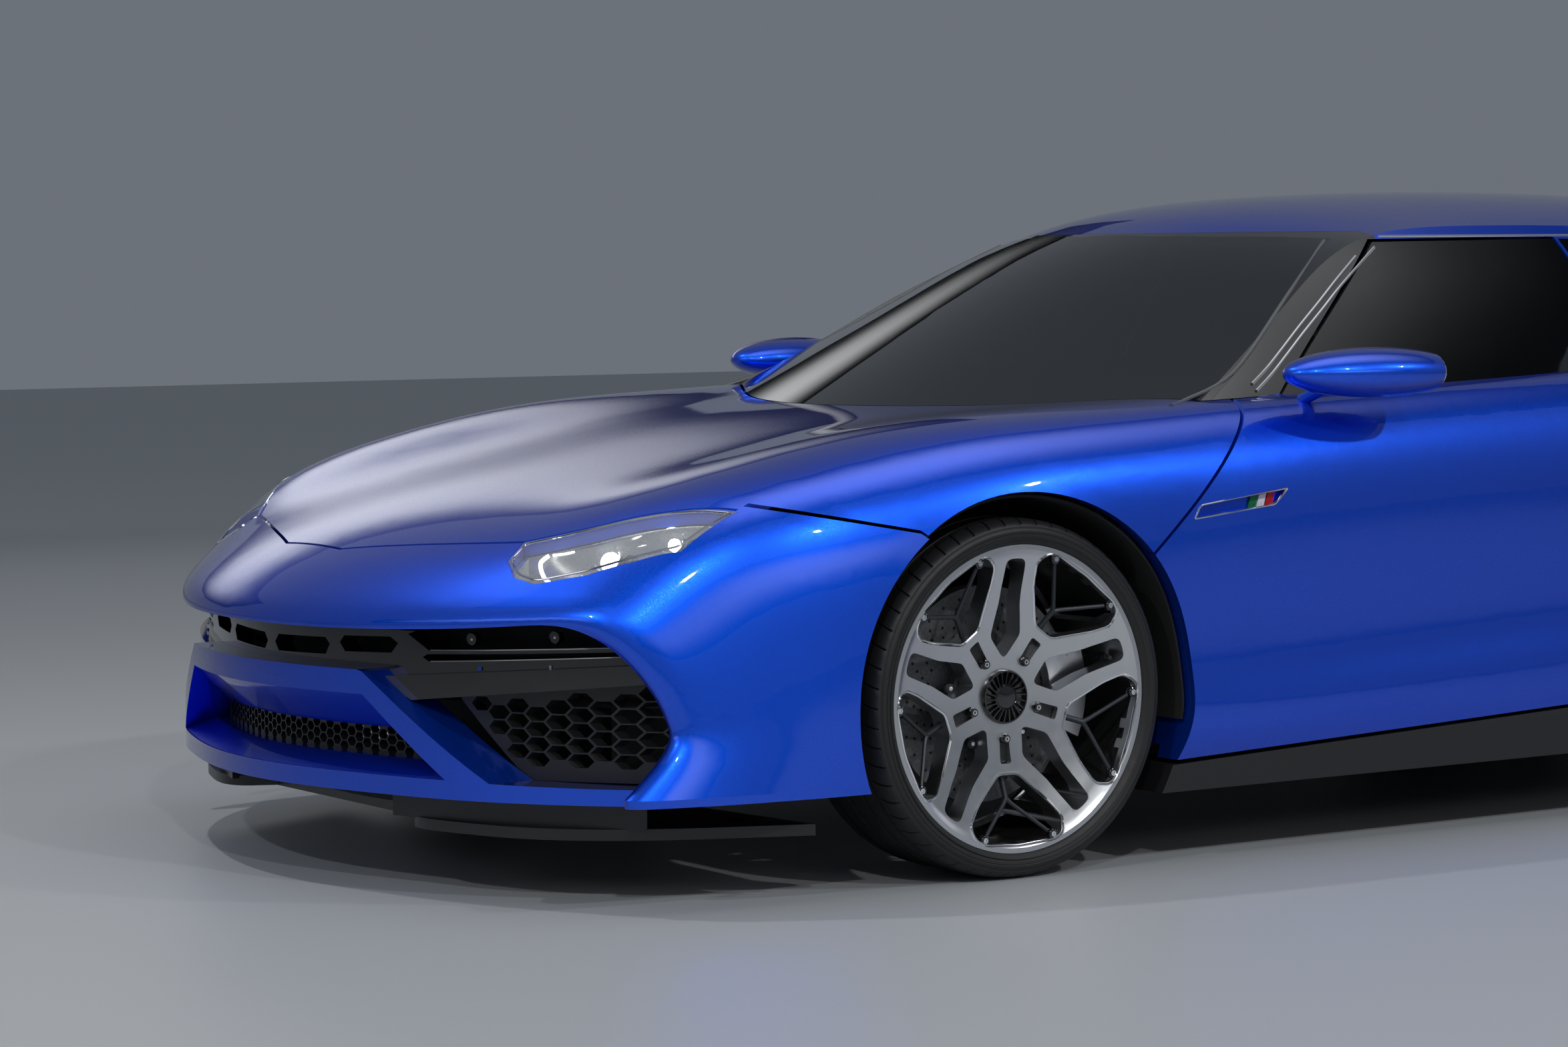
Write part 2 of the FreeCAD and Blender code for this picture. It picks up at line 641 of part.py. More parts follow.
def pocket(body, label, points, offset, length):
    cut = body.newObject("PartDesign::Pocket", label)
    cut.Profile = outline(body, label + "_outline", "XZ_Plane", points, offset)
    cut.Reversed = True
    cut.Length = number(length)
    if isinstance(length, Length):
        cut.setExpression("Length", length.text)
    return cut


SPOKES = 5
GROOVE_REACH = 82


def wheel(corner, x, z, track, side, tyre_radius, tyre_width):
    """A tyre on a rim of forked spokes, with a disc behind it; the outer face is at +Y of its own frame."""
    rim, wall = cell("rim_radius"), cell("rim_wall")
    face = tyre_width / 2 - 9
    back = -face
    dish = cell("spoke_wall")
    gap = cell("fit_gap")
    tyre = turned(f"tyre_{corner}", [
        (rim + gap, face), (rim + 10, face + 7), (rim + 24, face + 9), (tyre_radius - 10, face + 2),
        (tyre_radius - 2, face - 12), (tyre_radius, face - 30), (tyre_radius, back + 30), (tyre_radius - 2, back + 12),
        (tyre_radius - 10, back - 2), (rim + 24, back - 9), (rim + 10, back - 7), (rim + gap, back),
        (rim + gap, back + 13), (rim - 15, back + 19), (rim - 12, back + 30), (rim + 18, back + 14),
        (tyre_radius - 14, back + 24), (tyre_radius - 14, face - 24), (rim + 18, face - 14), (rim - 12, face - 30),
        (rim - 15, face - 19), (rim + gap, face - 13)])
    wheel_rim = turned(f"rim_{corner}", [
        (rim, face), (rim, face - 12), (rim - 16, face - 19), (rim - 16, face - 34), (rim - 24, face - 60),
        (rim - 24, back + 60), (rim - 16, back + 34), (rim - 16, back + 19), (rim, back + 12), (rim, back),
        (rim - wall, back), (rim - 25, back + 20), (rim - 24 - wall, back + 62), (rim - 24 - wall, face - 66),
        (rim - 70, face - 54 - dish / 2), (cell("hub_radius") + 14, face - 62 - dish),
        (30, face - 62 - dish), (30, face - 52), (cell("hub_radius"), face - 50),
        (rim * 0.5, face - 40), (rim * 0.8, face - 18), (rim - 24, face - 10), (rim - wall, face)])
    fork = [(0.52, 0.045), (0.775, 0.26), (0.87, 0.23), (0.90, 0.0), (0.87, -0.23), (0.775, -0.26), (0.52, -0.045)]
    between = [(0.27, 0.03), (0.42, 0.165), (0.60, 0.18), (0.86, 0.115), (0.885, 0.0), (0.86, -0.115), (0.60, -0.18),
               (0.42, -0.165), (0.27, -0.03)]
    groove = [(0.29, 0.022), (0.45, 0.028), (0.45, -0.028), (0.29, -0.022)]
    through = dish * 4 + 20
    turn = math.pi / SPOKES
    for name, shape, lean, deep in (("fork", fork, 0.0, through), ("between", between, turn, through),
                                    ("groove", groove, 0.0, GROOVE_REACH)):
        corners = [(rim * (t * math.cos(lean) + r * math.sin(lean)), rim * (t * math.sin(lean) - r * math.cos(lean)))
                   for r, t in shape]
        cut = pocket(wheel_rim, f"{name}_{corner}", corners, -(face + 20), deep)
        around(wheel_rim, f"{name}_ring_{corner}", cut, SPOKES)
    radius, thick = cell("disc_radius"), cell("disc_wall")
    out = face - 62 - dish - 8
    disc = turned(f"disc_{corner}", [
        (30, out + 7.7), (82, out + 7.7), (82, out - 14), (radius, out - 14), (radius, out - 14 - thick),
        (70, out - 14 - thick), (70, out), (30, out)])
    for body in (tyre, wheel_rim, disc):
        place(body, x, side * track, z, 0 if side == LEFT else 180)


front_tyre = (cell("front_tyre_radius"), cell("front_tyre_width"))
rear_tyre = (cell("rear_tyre_radius"), cell("rear_tyre_width"))
for corner, side in (("fl", LEFT), ("fr", RIGHT)):
    wheel(corner, FRONT, FRONT_AXLE_Z, FRONT_TRACK, side, *front_tyre)
for corner, side in (("rl", LEFT), ("rr", RIGHT)):
    wheel(corner, REAR, REAR_AXLE_Z, REAR_TRACK, side, *rear_tyre)

# Knuckles, arms, liners
HUB_GAP, SPINDLE_REACH = 2, 20
NECK = 4


def rod(a, b, radius):
    a, b = V(*a), V(*b)
    return Part.makeCylinder(radius, (b - a).Length, a, b - a)


def hub_plane(track, width):
    return track + width / 2 - 9 - 62 - size("spoke_wall") - 8


front_hub = hub_plane(FRONT_TRACK, size("front_tyre_width"))
rear_hub = hub_plane(REAR_TRACK, size("rear_tyre_width"))


def upright(x, z, hub, top, foot):
    inner = hub - 14 - size("disc_wall") - HUB_GAP
    body = Part.makeCylinder(62, 26, V(x, inner - 26, z), V(0, 1, 0))
    body = body.fuse(Part.makeCylinder(30 - FIT, 26 + hub - inner + SPINDLE_REACH, V(x, inner - 26, z), V(0, 1, 0)))
    body = body.fuse(box((x - 22, inner - 26, z - foot), (x + 22, inner, z + top - NECK)))
    body = body.fuse(Part.makeCylinder(12, 2 * NECK, V(x, inner - 13, z + top - 2 * NECK), V(0, 0, 1)))
    return body.removeSplitter()


def caliper(x, z, hub, lean):
    """A caliper over the back of the disc."""
    mid = hub - 14 - size("disc_wall") / 2
    half = size("disc_wall") / 2 + 26
    ring = Part.makeCylinder(size("disc_radius") + 22, 2 * half, V(x, mid - half, z), V(0, 1, 0))
    ring = ring.cut(Part.makeCylinder(size("disc_radius") - 62, 2 * half, V(x, mid - half, z), V(0, 1, 0)))
    slot = Part.makeCylinder(size("disc_radius") + 4, size("disc_wall") + 6, V(x, mid - size("disc_wall") / 2 - 3, z), V(0, 1, 0))
    reach = 400
    low, high = math.radians(lean - 24), math.radians(lean + 24)
    wedge = prism([(x, z), (x + reach * math.cos(low), z + reach * math.sin(low)),
                   (x + reach * math.cos(high), z + reach * math.sin(high))], "y", mid - half, mid + half)
    return ring.cut(slot).common(wedge)


def bracket(x, z, hub, lean):
    """The lug that holds the caliper on the upright."""
    inner = hub - 14 - size("disc_wall") - HUB_GAP
    reach = size("disc_radius") - 20
    a = math.radians(lean)
    return rod((x, inner - 14, z), (x + reach * math.cos(a), inner - 14, z + reach * math.sin(a)), 12)


REAR_LEAN = 180
for side, word in ((LEFT, "l"), (RIGHT, "r")):
    front = upright(FRONT, FRONT_AXLE_Z, front_hub, 130, 120).fuse(bracket(FRONT, FRONT_AXLE_Z, front_hub, REAR_LEAN))
    front = front.fuse(caliper(FRONT, FRONT_AXLE_Z, front_hub, REAR_LEAN))
    keep(f"knuckle_f{word}", front if side == LEFT else flip(front))
    rear = upright(REAR, REAR_AXLE_Z, rear_hub, 130, 120).fuse(bracket(REAR, REAR_AXLE_Z, rear_hub, 0))
    rear = rear.fuse(caliper(REAR, REAR_AXLE_Z, rear_hub, 0))
    keep(f"upright_r{word}", rear if side == LEFT else flip(rear))


def liner(x, z, radius, inner):
    """A half drum of thin wall inside the arch, closed on its inner side."""
    wall = size("liner_wall")
    drum = arch_drum(x, z, radius, inner).cut(arch_drum(x, z, radius - wall, inner + wall))
    drum = drum.common(box((x - radius - 1, inner, z - 60), (x + radius + 1, OUT, z + radius + 1)))
    return drum.common(BODY_FIT)


def axle_window(x, z, inner):
    return box((x - 150, inner - 20, z - 200), (x + 150, inner + 20, z + 160))


front_liner = liner(FRONT, FRONT_AXLE_Z, FRONT_ARCH, size("liner_inboard"))
front_liner = front_liner.cut(axle_window(FRONT, FRONT_AXLE_Z, size("liner_inboard")))
rear_liner = liner(REAR, REAR_AXLE_Z, REAR_ARCH, size("rear_liner_inboard"))
rear_liner = rear_liner.cut(axle_window(REAR, REAR_AXLE_Z, size("rear_liner_inboard")))
keep("front_liners", both_sides(front_liner))
keep("rear_liners", both_sides(rear_liner))


ARM_RADIUS, BALL_HALF = 9.5, 10.5


def axle_set(x, z, hub, inner_y):
    """Wishbones from the frame to the ball joints under and over the upright."""
    inner = hub - 14 - size("disc_wall") - HUB_GAP
    arms = None
    for height, ball in ((-130, z - 120), (115, z + 130)):
        tip = (x, inner - 13, ball + math.copysign(BALL_HALF + FIT, height))
        for shift in (-130, 130):
            arm = rod((x + shift, inner_y, z + height), tip, ARM_RADIUS)
            arms = arm if arms is None else arms.fuse(arm)
        arms = arms.fuse(Part.makeCylinder(ARM_RADIUS, 2 * BALL_HALF, V(tip[0], tip[1], tip[2] - BALL_HALF), V(0, 0, 1)))
    return arms


FRAME_FOOT = FLOOR + size("floor_wall") - 10 + FIT
front_arms = axle_set(FRONT, FRONT_AXLE_Z, front_hub, 420)
rear_arms = axle_set(REAR, REAR_AXLE_Z, rear_hub, 420)
front_frame = both_sides(front_arms).Solids
front_axle = front_frame[0].fuse(front_frame[1:] + [
    box((FRONT - 200, -430, FRAME_FOOT), (FRONT - 150, 430, 480)).cut(box((FRONT - 210, -380, 215), (FRONT - 140, 380, 435))),
    box((FRONT + 150, -430, FRAME_FOOT), (FRONT + 200, 430, 480)).cut(box((FRONT + 140, -380, 215), (FRONT + 210, 380, 435))),
    box((FRONT - 200, 385, FRAME_FOOT), (FRONT + 200, 430, 215)), box((FRONT - 200, -430, FRAME_FOOT), (FRONT + 200, -385, 215)),
    box((FRONT - 200, 385, 435), (FRONT + 200, 430, 480)), box((FRONT - 200, -430, 435), (FRONT + 200, -385, 480))])
keep("front_subframe", front_axle)
rear_frame = both_sides(rear_arms).Solids
rear_axle = rear_frame[0].fuse(rear_frame[1:] + [
    box((REAR - 200, -430, FRAME_FOOT), (REAR - 150, 430, 500)).cut(box((REAR - 210, -380, 220), (REAR - 140, 380, 455))),
    box((REAR + 150, -430, FRAME_FOOT), (REAR + 200, 430, 500)).cut(box((REAR + 140, -380, 220), (REAR + 210, 380, 455))),
    box((REAR - 200, 385, FRAME_FOOT), (REAR + 200, 430, 220)), box((REAR - 200, -430, FRAME_FOOT), (REAR + 200, -385, 220)),
    box((REAR - 200, 385, 455), (REAR + 200, 430, 500)), box((REAR - 200, -430, 455), (REAR + 200, -385, 500))])
keep("rear_subframe", rear_axle)

# Chassis: floor, bulkheads, sills and tunnel
CABIN_FRONT_X = FRONT - 430
CABIN_REAR_X = REAR + 800
TUB_Y = size("tub_half_width")
FLOOR_TOP = FLOOR + size("floor_wall")
SILL_Y = DOOR_SIDE_Y - 12
front_edge = FRONT - FRONT_ARCH - 20
rear_edge = REAR + REAR_ARCH + 20
chassis = box((rear_edge, -SILL_Y, FLOOR), (front_edge, SILL_Y, FLOOR_TOP)).fuse([
    box((front_edge, -500, FLOOR), (FRONT + 540, 500, FLOOR_TOP - 10)),
    box((REAR - 420 + FIT, -590, FLOOR), (rear_edge, 590, FLOOR_TOP - 10)),
    box((CABIN_FRONT_X - 20, -SILL_Y, FLOOR), (CABIN_FRONT_X, SILL_Y, 560)),
    box((CABIN_FRONT_X - 20, -500, FLOOR), (CABIN_FRONT_X, 500, 770)),
    box((CABIN_REAR_X, -SILL_Y, FLOOR), (CABIN_REAR_X + 25, SILL_Y, 780)),
    box((rear_edge, SILL_Y - 90, FLOOR), (front_edge, SILL_Y, 380)),
    box((rear_edge, -SILL_Y, FLOOR), (front_edge, -SILL_Y + 90, 380)),
    box((CABIN_REAR_X, -110, FLOOR), (CABIN_FRONT_X, 110, 400))])
keep("chassis", chassis.removeSplitter())

# Skirts under the doors
skirt = BODY.common(skirt_region(-GAP, SILL_Y + FIT)).common(box((REAR, 0, 0), (FRONT, OUT, HIGH)))
skirt = skirt.cut([FRONT_DRUM, REAR_DRUM])
keep("side_skirts", both_sides(largest(skirt)))

# The front bumper: curved walls that follow one line in plan, cut to outlines seen from the front
BUMPER_LINE = [(1092, 0), (1070, 200), (1020, 380), (950, 560), (860, 700), (770, 800), (690, 865), (600, 925)]


SCOOP_DEPTH = 66


def wall_face(inset, wall, low):
    outer = [V(FRONT + x - inset, y * WIDE, low) for x, y in BUMPER_LINE]
    whole = [V(p.x, -p.y, p.z) for p in outer[:0:-1]] + outer
    inner = [p - V(wall, 0, 0) for p in whole]
    curves = []
    for line in (whole, inner):
        spline = Part.BSplineCurve()
        spline.interpolate(line)
        curves.append(spline.toShape())
    ends = [Part.LineSegment(whole[k], inner[k]).toShape() for k in (0, -1)]
    return Part.Face(Part.Wire(Part.__sortEdges__(curves + ends)))


def bumper_wall(inset, wall, low, high):
    return wall_face(inset, wall, low).extrude(V(0, 0, high - low))


def front_cut(wall, outline_yz):
    return wall.common(prism([(y * WIDE, z) for y, z in outline_yz], "x", FRONT + 500, FRONT + 1400))


def mirrored_outline(half):
    return half + [(-y, z) for y, z in half[::-1]]


def wall_outline(inset, depth, z):
    """The closed outline of a bumper wall at one height."""
    return wall_face(inset, depth, z).OuterWire


BEAK = mirrored_outline([(332, 400), (345, 397), (610, 212), (1000, 206), (1000, 180)])
BEAK_TOP_WALL, BEAK_WALL, BAND_WALL = 55, 90, 36
NOSE_BOX = box((FRONT + 400, -OUT, 0), (FRONT + 1400, OUT, HIGH))
NOSE_SHELL = BODY.cut(BODY_FIT).common(NOSE_BOX)
BODY_CLEAR = capped_tube(sunk(BODY_ROWS, size("panel_wall") + 1.5), FLOOR - 20, CORE_FRONT_X, CORE_REAR_X, 1.0)
NOSE_CLEAR = BODY.cut(BODY_CLEAR).common(NOSE_BOX)
beak = front_cut(bumper_wall(0, BEAK_WALL, 100, 379), BEAK)
beak = beak.fuse(front_cut(bumper_wall(0, BEAK_TOP_WALL, 370, 520), BEAK))

# The scoop under the beak's fold, between the fins, and the slot at its back
FOLD_Z, SLOT_TOP, SLOT_LOW, LIP_Z = 356, 292, 238, 214
scoop_sides = mirrored_outline([(296, 394), (431, 289), (540, 205)])
scoop = Part.makeLoft([wall_outline(-60, 64, FOLD_Z), wall_outline(-60, 60 + SCOOP_DEPTH, SLOT_TOP)], True, True)
scoop = scoop.fuse(bumper_wall(-60, 60 + SCOOP_DEPTH, SLOT_LOW, SLOT_TOP))
scoop = scoop.fuse(Part.makeLoft([wall_outline(-60, 60 + SCOOP_DEPTH, SLOT_LOW), wall_outline(-60, 64, LIP_Z)], True, True))
scoop = scoop.fuse(front_cut(bumper_wall(0, BEAK_WALL + 5, 100, 520), mirrored_outline([(400, SLOT_TOP), (470, SLOT_LOW)])))
beak = beak.cut(front_cut(scoop, scoop_sides)).cut(NOSE_SHELL)
keep("bumper_beak", largest(beak))

# The black band with its row of slots over the beak, its lamp slot and the blade beside the fins
SLOTS = [[(15, 428), (28, 443), (182, 447), (194, 435), (182, 416), (28, 412)],
         [(222, 440), (234, 453), (350, 457), (368, 446), (352, 428), (236, 424)],
         [(392, 464), (410, 470), (745, 490), (770, 480), (758, 452), (440, 436)],
         [(425, 424), (436, 430), (795, 447), (800, 438), (440, 416)]]
BLADE = [(352, 380), (362, 388), (880, 430), (880, 398), (420, 348)]
band = front_cut(bumper_wall(BEAK_TOP_WALL + FIT, BAND_WALL, 100, 560),
                 mirrored_outline([(560, 470), (960, 500), (960, 396), (560, 380)]))
blade = front_cut(bumper_wall(BEAK_TOP_WALL - 20, BAND_WALL + 20, 100, 560), BLADE)
band = band.fuse(both_sides(blade).Solids)
for slot in SLOTS:
    for side in (LEFT, RIGHT):
        band = band.cut(prism([(side * y * WIDE, z) for y, z in slot], "x", FRONT + 500, FRONT + 1400))
keep("slot_band", largest(band.cut([NOSE_CLEAR, parts["bumper_beak"].Shape, parts["nose_panel"].Shape])))


# Honeycomb grilles
def honeycomb(region, wide, high, rib):
    """Hexagonal holes on a staggered lattice, those wholly inside a convex outline."""
    low_y, high_y = min(y for y, z in region), max(y for y, z in region)
    low_z, high_z = min(z for y, z in region), max(z for y, z in region)
    holes = []
    for column in range(int((high_y - low_y) / (wide * 0.75)) + 1):
        for row in range(int((high_z - low_z) / high) + 1):
            y = low_y + wide / 2 + column * wide * 0.75
            z = low_z + (row + (column % 2) / 2) * high
            across, up = wide / 2 - rib, (high - rib) / 2
            hexagon = [(y + across, z), (y + across / 2, z + up), (y - across / 2, z + up), (y - across, z),
                       (y - across / 2, z - up), (y + across / 2, z - up)]
            if all(inside(corner, region) for corner in hexagon):
                holes.append(prism([(a * WIDE, b) for a, b in hexagon], "x", FRONT + 500, FRONT + 1400))
    return holes


def inside(point, region):
    """Whether a point lies in a convex outline given clockwise."""
    for k, (ay, az) in enumerate(region):
        by, bz = region[(k + 1) % len(region)]
        if (by - ay) * (point[1] - az) - (bz - az) * (point[0] - ay) > 0:
            return False
    return True


GRILLE_INSET = BEAK_WALL + BAND_WALL + 2 * FIT - 34
grille = front_cut(bumper_wall(GRILLE_INSET, 22, 100, 520), [(470, 402), (960, 402), (960, 212), (600, 212), (470, 349)])
grille = largest(grille.cut(NOSE_CLEAR)).cut(honeycomb([(455, 352), (850, 392), (868, 310), (815, 230), (600, 222)], 46, 27, 2.5))
keep("side_grilles", both_sides(largest(grille)))
low_grille = front_cut(bumper_wall(BEAK_WALL + FIT, 16, 100, 520), mirrored_outline([(430, 305), (500, 222)]))
low_grille = low_grille.cut(honeycomb([(-400, 294), (400, 294), (440, 236), (-440, 236)], 28, 19, 2))
keep("low_grille", largest(low_grille))

# Splitter: wings ahead of both corners, the middle set back
SPLIT_LINE = [(905, 335), (928, 350), (922, 500), (872, 620), (765, 740), (610, 830), (430, 905)]
SPLIT_LOW, SPLIT_WALL, SPLIT_MID_X = FLOOR - 20 - FIT, 20, 870
wing = Part.BSplineCurve()
wing.interpolate([V(FRONT + x, y * WIDE, SPLIT_LOW) for x, y in SPLIT_LINE])
ends = [V(FRONT + x, y * WIDE, SPLIT_LOW) for x, y in (SPLIT_LINE[-1], (480, 500), (480, 0), (SPLIT_MID_X, 0), (SPLIT_MID_X, 318),
                                                       SPLIT_LINE[0])]
rim = [Part.LineSegment(ends[k], ends[k + 1]).toShape() for k in range(len(ends) - 1)]
half = Part.Face(Part.Wire(Part.__sortEdges__([wing.toShape()] + rim))).extrude(V(0, 0, SPLIT_WALL))
SPLIT_TOP, BEAK_FOOT = SPLIT_LOW + SPLIT_WALL - 2, 180 - FIT
keel = Part.makeLoft([wall_outline(212, 20, SPLIT_TOP), wall_outline(62, 20, BEAK_FOOT)], True, True)
keel = keel.common(box((FRONT, -330, 0), (FRONT + 1200, 330, HIGH)))
plates = bumper_wall(74, 15, SPLIT_TOP, BEAK_FOOT).common(box((FRONT, -780, 0), (FRONT + 1200, 780, HIGH)))
plates = plates.cut(box((FRONT, -328, 0), (FRONT + 1200, 328, HIGH)))
splitter = half.fuse([flip(half), keel] + plates.Solids).removeSplitter()
keep("splitter", splitter)

# Headlamp bowls
bowl = BODY_CORE.common(lamp_region(0)).common(box((FRONT, 0, 495), (FRONT + 1200, OUT, HIGH))).cut(LID_HOLE)
bowl = bowl.cut(lamp_region(-10).common(box((FRONT, 0, 505), (FRONT + 1200, OUT, HIGH))))
keep("headlamp_bowls", both_sides(largest(bowl)))

# Tail
TAIL_FRONT_X, TAIL_BACK_X = REAR - 785, REAR - 845
PIPE_Y, PIPE_Z, PIPE_RADIUS = (-170, -60, 60, 170), 420, 48
REAR_TIP = REAR - size("rear_overhang")
tail = BODY_FIT.common(box((TAIL_BACK_X, -OUT, 290), (TAIL_FRONT_X, OUT, 872)))
lamp_hole = box((TAIL_BACK_X - 40, 330, 700), (TAIL_BACK_X + 40, 760, 770))
tail = tail.cut([lamp_hole, flip(lamp_hole)])
exhaust = []
for y in PIPE_Y:
    tail = tail.cut(Part.makeCylinder(PIPE_RADIUS + FIT, 200, V(REAR_TIP, y, PIPE_Z), V(1, 0, 0)))
    pipe = Part.makeCylinder(PIPE_RADIUS, 200, V(REAR_TIP, y, PIPE_Z), V(1, 0, 0))
    exhaust.append(pipe.cut(Part.makeCylinder(PIPE_RADIUS - 4, 120, V(REAR_TIP, y, PIPE_Z), V(1, 0, 0))))
keep("tail_panel", largest(tail))
keep("tail_lamps", both_sides(box((TAIL_BACK_X - 25, 330 + FIT, 700 + FIT), (TAIL_BACK_X + 35, 760 - FIT, 770 - FIT))))
keep("exhausts", Part.makeCompound(exhaust))
DIFFUSER_TOP = 290 - FIT
diffuser = prism([(REAR - 420, 150), (REAR_TIP, 255), (REAR_TIP, DIFFUSER_TOP), (REAR - 420, DIFFUSER_TOP)], "y", -700, 700)
channel = prism([(REAR - 440, 100), (REAR_TIP - 20, 100), (REAR_TIP - 20, 276), (REAR - 440, 230)], "y", -90, 90)
for k in range(7):
    diffuser = diffuser.cut(channel.translated(V(0, -600 + 200 * k, 0)))
keep("diffuser", diffuser)

# Engine, luggage tub, cabin
ENGINE_X, ENGINE_Z = REAR + 215, FLOOR_TOP + FIT
engine = box((ENGINE_X, -size("engine_width") / 2, ENGINE_Z),
             (ENGINE_X + size("engine_length"), size("engine_width") / 2, ENGINE_Z + size("engine_height")))
keep("engine", engine)
tub = box((FRONT + 215, -380, FRAME_FOOT), (FRONT + 530, 380, 520))
tub = tub.cut(box((FRONT + 225, -370, FRAME_FOOT + 10), (FRONT + 520, 370, 530)))
striker = box((FRONT + 520, -30, 400), (FRONT + 530, 30, HIGH)).common(BODY_FIT)
keep("luggage_tub", tub.fuse(striker))

DASH_X = CABIN_FRONT_X - 20 - FIT
dash = prism([(DASH_X, 560), (DASH_X, 800), (DASH_X - 160, 820), (DASH_X - 280, 740), (DASH_X - 280, 640),
              (DASH_X - 160, 560)], "y", -700, 700)
keep("dashboard", dash)

SEAT_X = FRONT - 1250
SEAT_SIDE = [(0, 250), (-640, 250), (-660, 330), (-800, 900), (-760, 1010), (-700, 1010), (-660, 900), (-500, 430),
             (-380, 400), (20, 430), (40, 380), (30, 250)]
half_seat = size("seat_width") / 2
seat = prism([(SEAT_X + x + 400, z) for x, z in SEAT_SIDE], "y", size("seat_spacing") - half_seat,
             size("seat_spacing") + half_seat)
rails = [box((SEAT_X - 200, size("seat_spacing") + y - 20, FLOOR_TOP + FIT), (SEAT_X + 380, size("seat_spacing") + y + 20, 260))
         for y in (-180, 180)]
seat = seat.fuse(rails)
keep("seat_left", seat)
keep("seat_right", flip(seat))

WHEEL_AT = V(CABIN_FRONT_X - 370, size("seat_spacing"), 720)
tilt = V(-math.cos(math.radians(22)), 0, math.sin(math.radians(22)))
ring = Part.makeTorus(172, 15, WHEEL_AT, tilt)
column = Part.makeCylinder(22, 150, WHEEL_AT, tilt * -1)
column = column.cut(box((DASH_X - 280 - FIT, 0, 0), (FRONT, OUT, HIGH)))
across = rod((WHEEL_AT.x, WHEEL_AT.y - 165, WHEEL_AT.z), (WHEEL_AT.x, WHEEL_AT.y + 165, WHEEL_AT.z), 12)
keep("steering_wheel", ring.fuse([column, across]))

# Mirrors, flat behind where the glass sits
MIRROR_BACK = -41
mirror = Part.makeSphere(1, V(0, 0, 0), V(1, 0, 0), MIRROR_BACK, 90, 360)
stretch = FreeCAD.Matrix()
stretch.scale(190, 82, 48)
mirror = mirror.transformGeometry(stretch)
mirror.Placement = FreeCAD.Placement(V(FRONT - 803, 987, lifted(905)), FreeCAD.Rotation(V(0, 0, 1), -12))
stalk = rod((FRONT - 735, 860, 850), (FRONT - 765, 945, 893), 12)
mirror = mirror.fuse(stalk).cut([DOOR, DOOR_GLASS, CABIN_CLEAR])
mirror = largest(mirror)
keep("mirror_left", mirror)
keep("mirror_right", flip(mirror))

doc.recompute()
faults = []
for item in doc.Objects:
    if "Invalid" in item.State or "Error" in item.State:
        faults.append(f"{item.Name}: {item.State}")
for label, feature in parts.items():
    shape = feature.Shape
    if shape.isNull() or not shape.isValid():
        faults.append(f"{label}: not valid")
        continue
    print(label, len(shape.Solids), round(shape.Volume / 1e6, 2), [round(c) for c in (
        shape.BoundBox.XMin, shape.BoundBox.XMax, shape.BoundBox.YMin, shape.BoundBox.YMax, shape.BoundBox.ZMin, shape.BoundBox.ZMax)])
print(faults)
if faults:
    raise SystemExit(1)
for label, feature in parts.items():
    feature.Shape.exportStep(f"parts/{label}.step")
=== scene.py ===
import bpy
import bmesh
import json
import math
from mathutils import Matrix, Vector
from mathutils.bvhtree import BVHTree


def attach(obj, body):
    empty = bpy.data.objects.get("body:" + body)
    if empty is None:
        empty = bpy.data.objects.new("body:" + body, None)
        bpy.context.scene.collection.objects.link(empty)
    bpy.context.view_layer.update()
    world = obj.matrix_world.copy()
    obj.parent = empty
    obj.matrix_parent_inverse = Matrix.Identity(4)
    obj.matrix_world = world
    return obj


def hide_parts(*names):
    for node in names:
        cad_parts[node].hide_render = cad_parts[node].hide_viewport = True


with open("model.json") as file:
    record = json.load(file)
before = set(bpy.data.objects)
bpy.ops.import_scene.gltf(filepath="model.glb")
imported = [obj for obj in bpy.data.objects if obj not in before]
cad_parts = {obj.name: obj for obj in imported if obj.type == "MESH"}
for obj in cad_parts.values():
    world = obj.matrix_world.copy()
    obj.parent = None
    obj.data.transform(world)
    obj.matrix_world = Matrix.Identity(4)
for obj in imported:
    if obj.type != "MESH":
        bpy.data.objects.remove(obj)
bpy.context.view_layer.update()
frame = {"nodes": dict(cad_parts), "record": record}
NODES = frame["nodes"]
FRONT_X, REAR_X = 1.235, -1.465


# Materials

def material(name, colour, metallic=0.0, roughness=0.5, coat=0.0, coat_roughness=0.03, alpha=1.0,
             glow=None):
    m = bpy.data.materials.new(name)
    m.use_nodes = True
    shader = m.node_tree.nodes["Principled BSDF"]
    values = {"Base Color": (*colour, 1), "Metallic": metallic, "Roughness": roughness, "Coat Weight": coat,
              "Coat Roughness": coat_roughness, "Alpha": alpha}
    if glow:
        values["Emission Color"] = (*glow[0], 1)
        values["Emission Strength"] = glow[1]
    for key, value in values.items():
        shader.inputs[key].default_value = value
    return m


def wire(m, *links):
    for a, out, b, into in links:
        m.node_tree.links.new(a.outputs[out], b.inputs[into])


def speckle(m, scale, low, high, socket="Roughness", detail=2.0, stretch=(1, 1, 1)):
    """A fine noise between two values on one socket of the shader."""
    nodes = m.node_tree.nodes
    where = nodes.new("ShaderNodeTexCoord")
    lay = nodes.new("ShaderNodeMapping")
    lay.inputs["Scale"].default_value = stretch
    noise = nodes.new("ShaderNodeTexNoise")
    noise.inputs["Scale"].default_value = scale
    noise.inputs["Detail"].default_value = detail
    span = nodes.new("ShaderNodeMapRange")
    span.inputs["To Min"].default_value = low
    span.inputs["To Max"].default_value = high
    wire(m, (where, "Object", lay, "Vector"), (lay, "Vector", noise, "Vector"),
         (noise, "Fac", span, "Value"), (span, "Result", nodes["Principled BSDF"], socket))
    return m


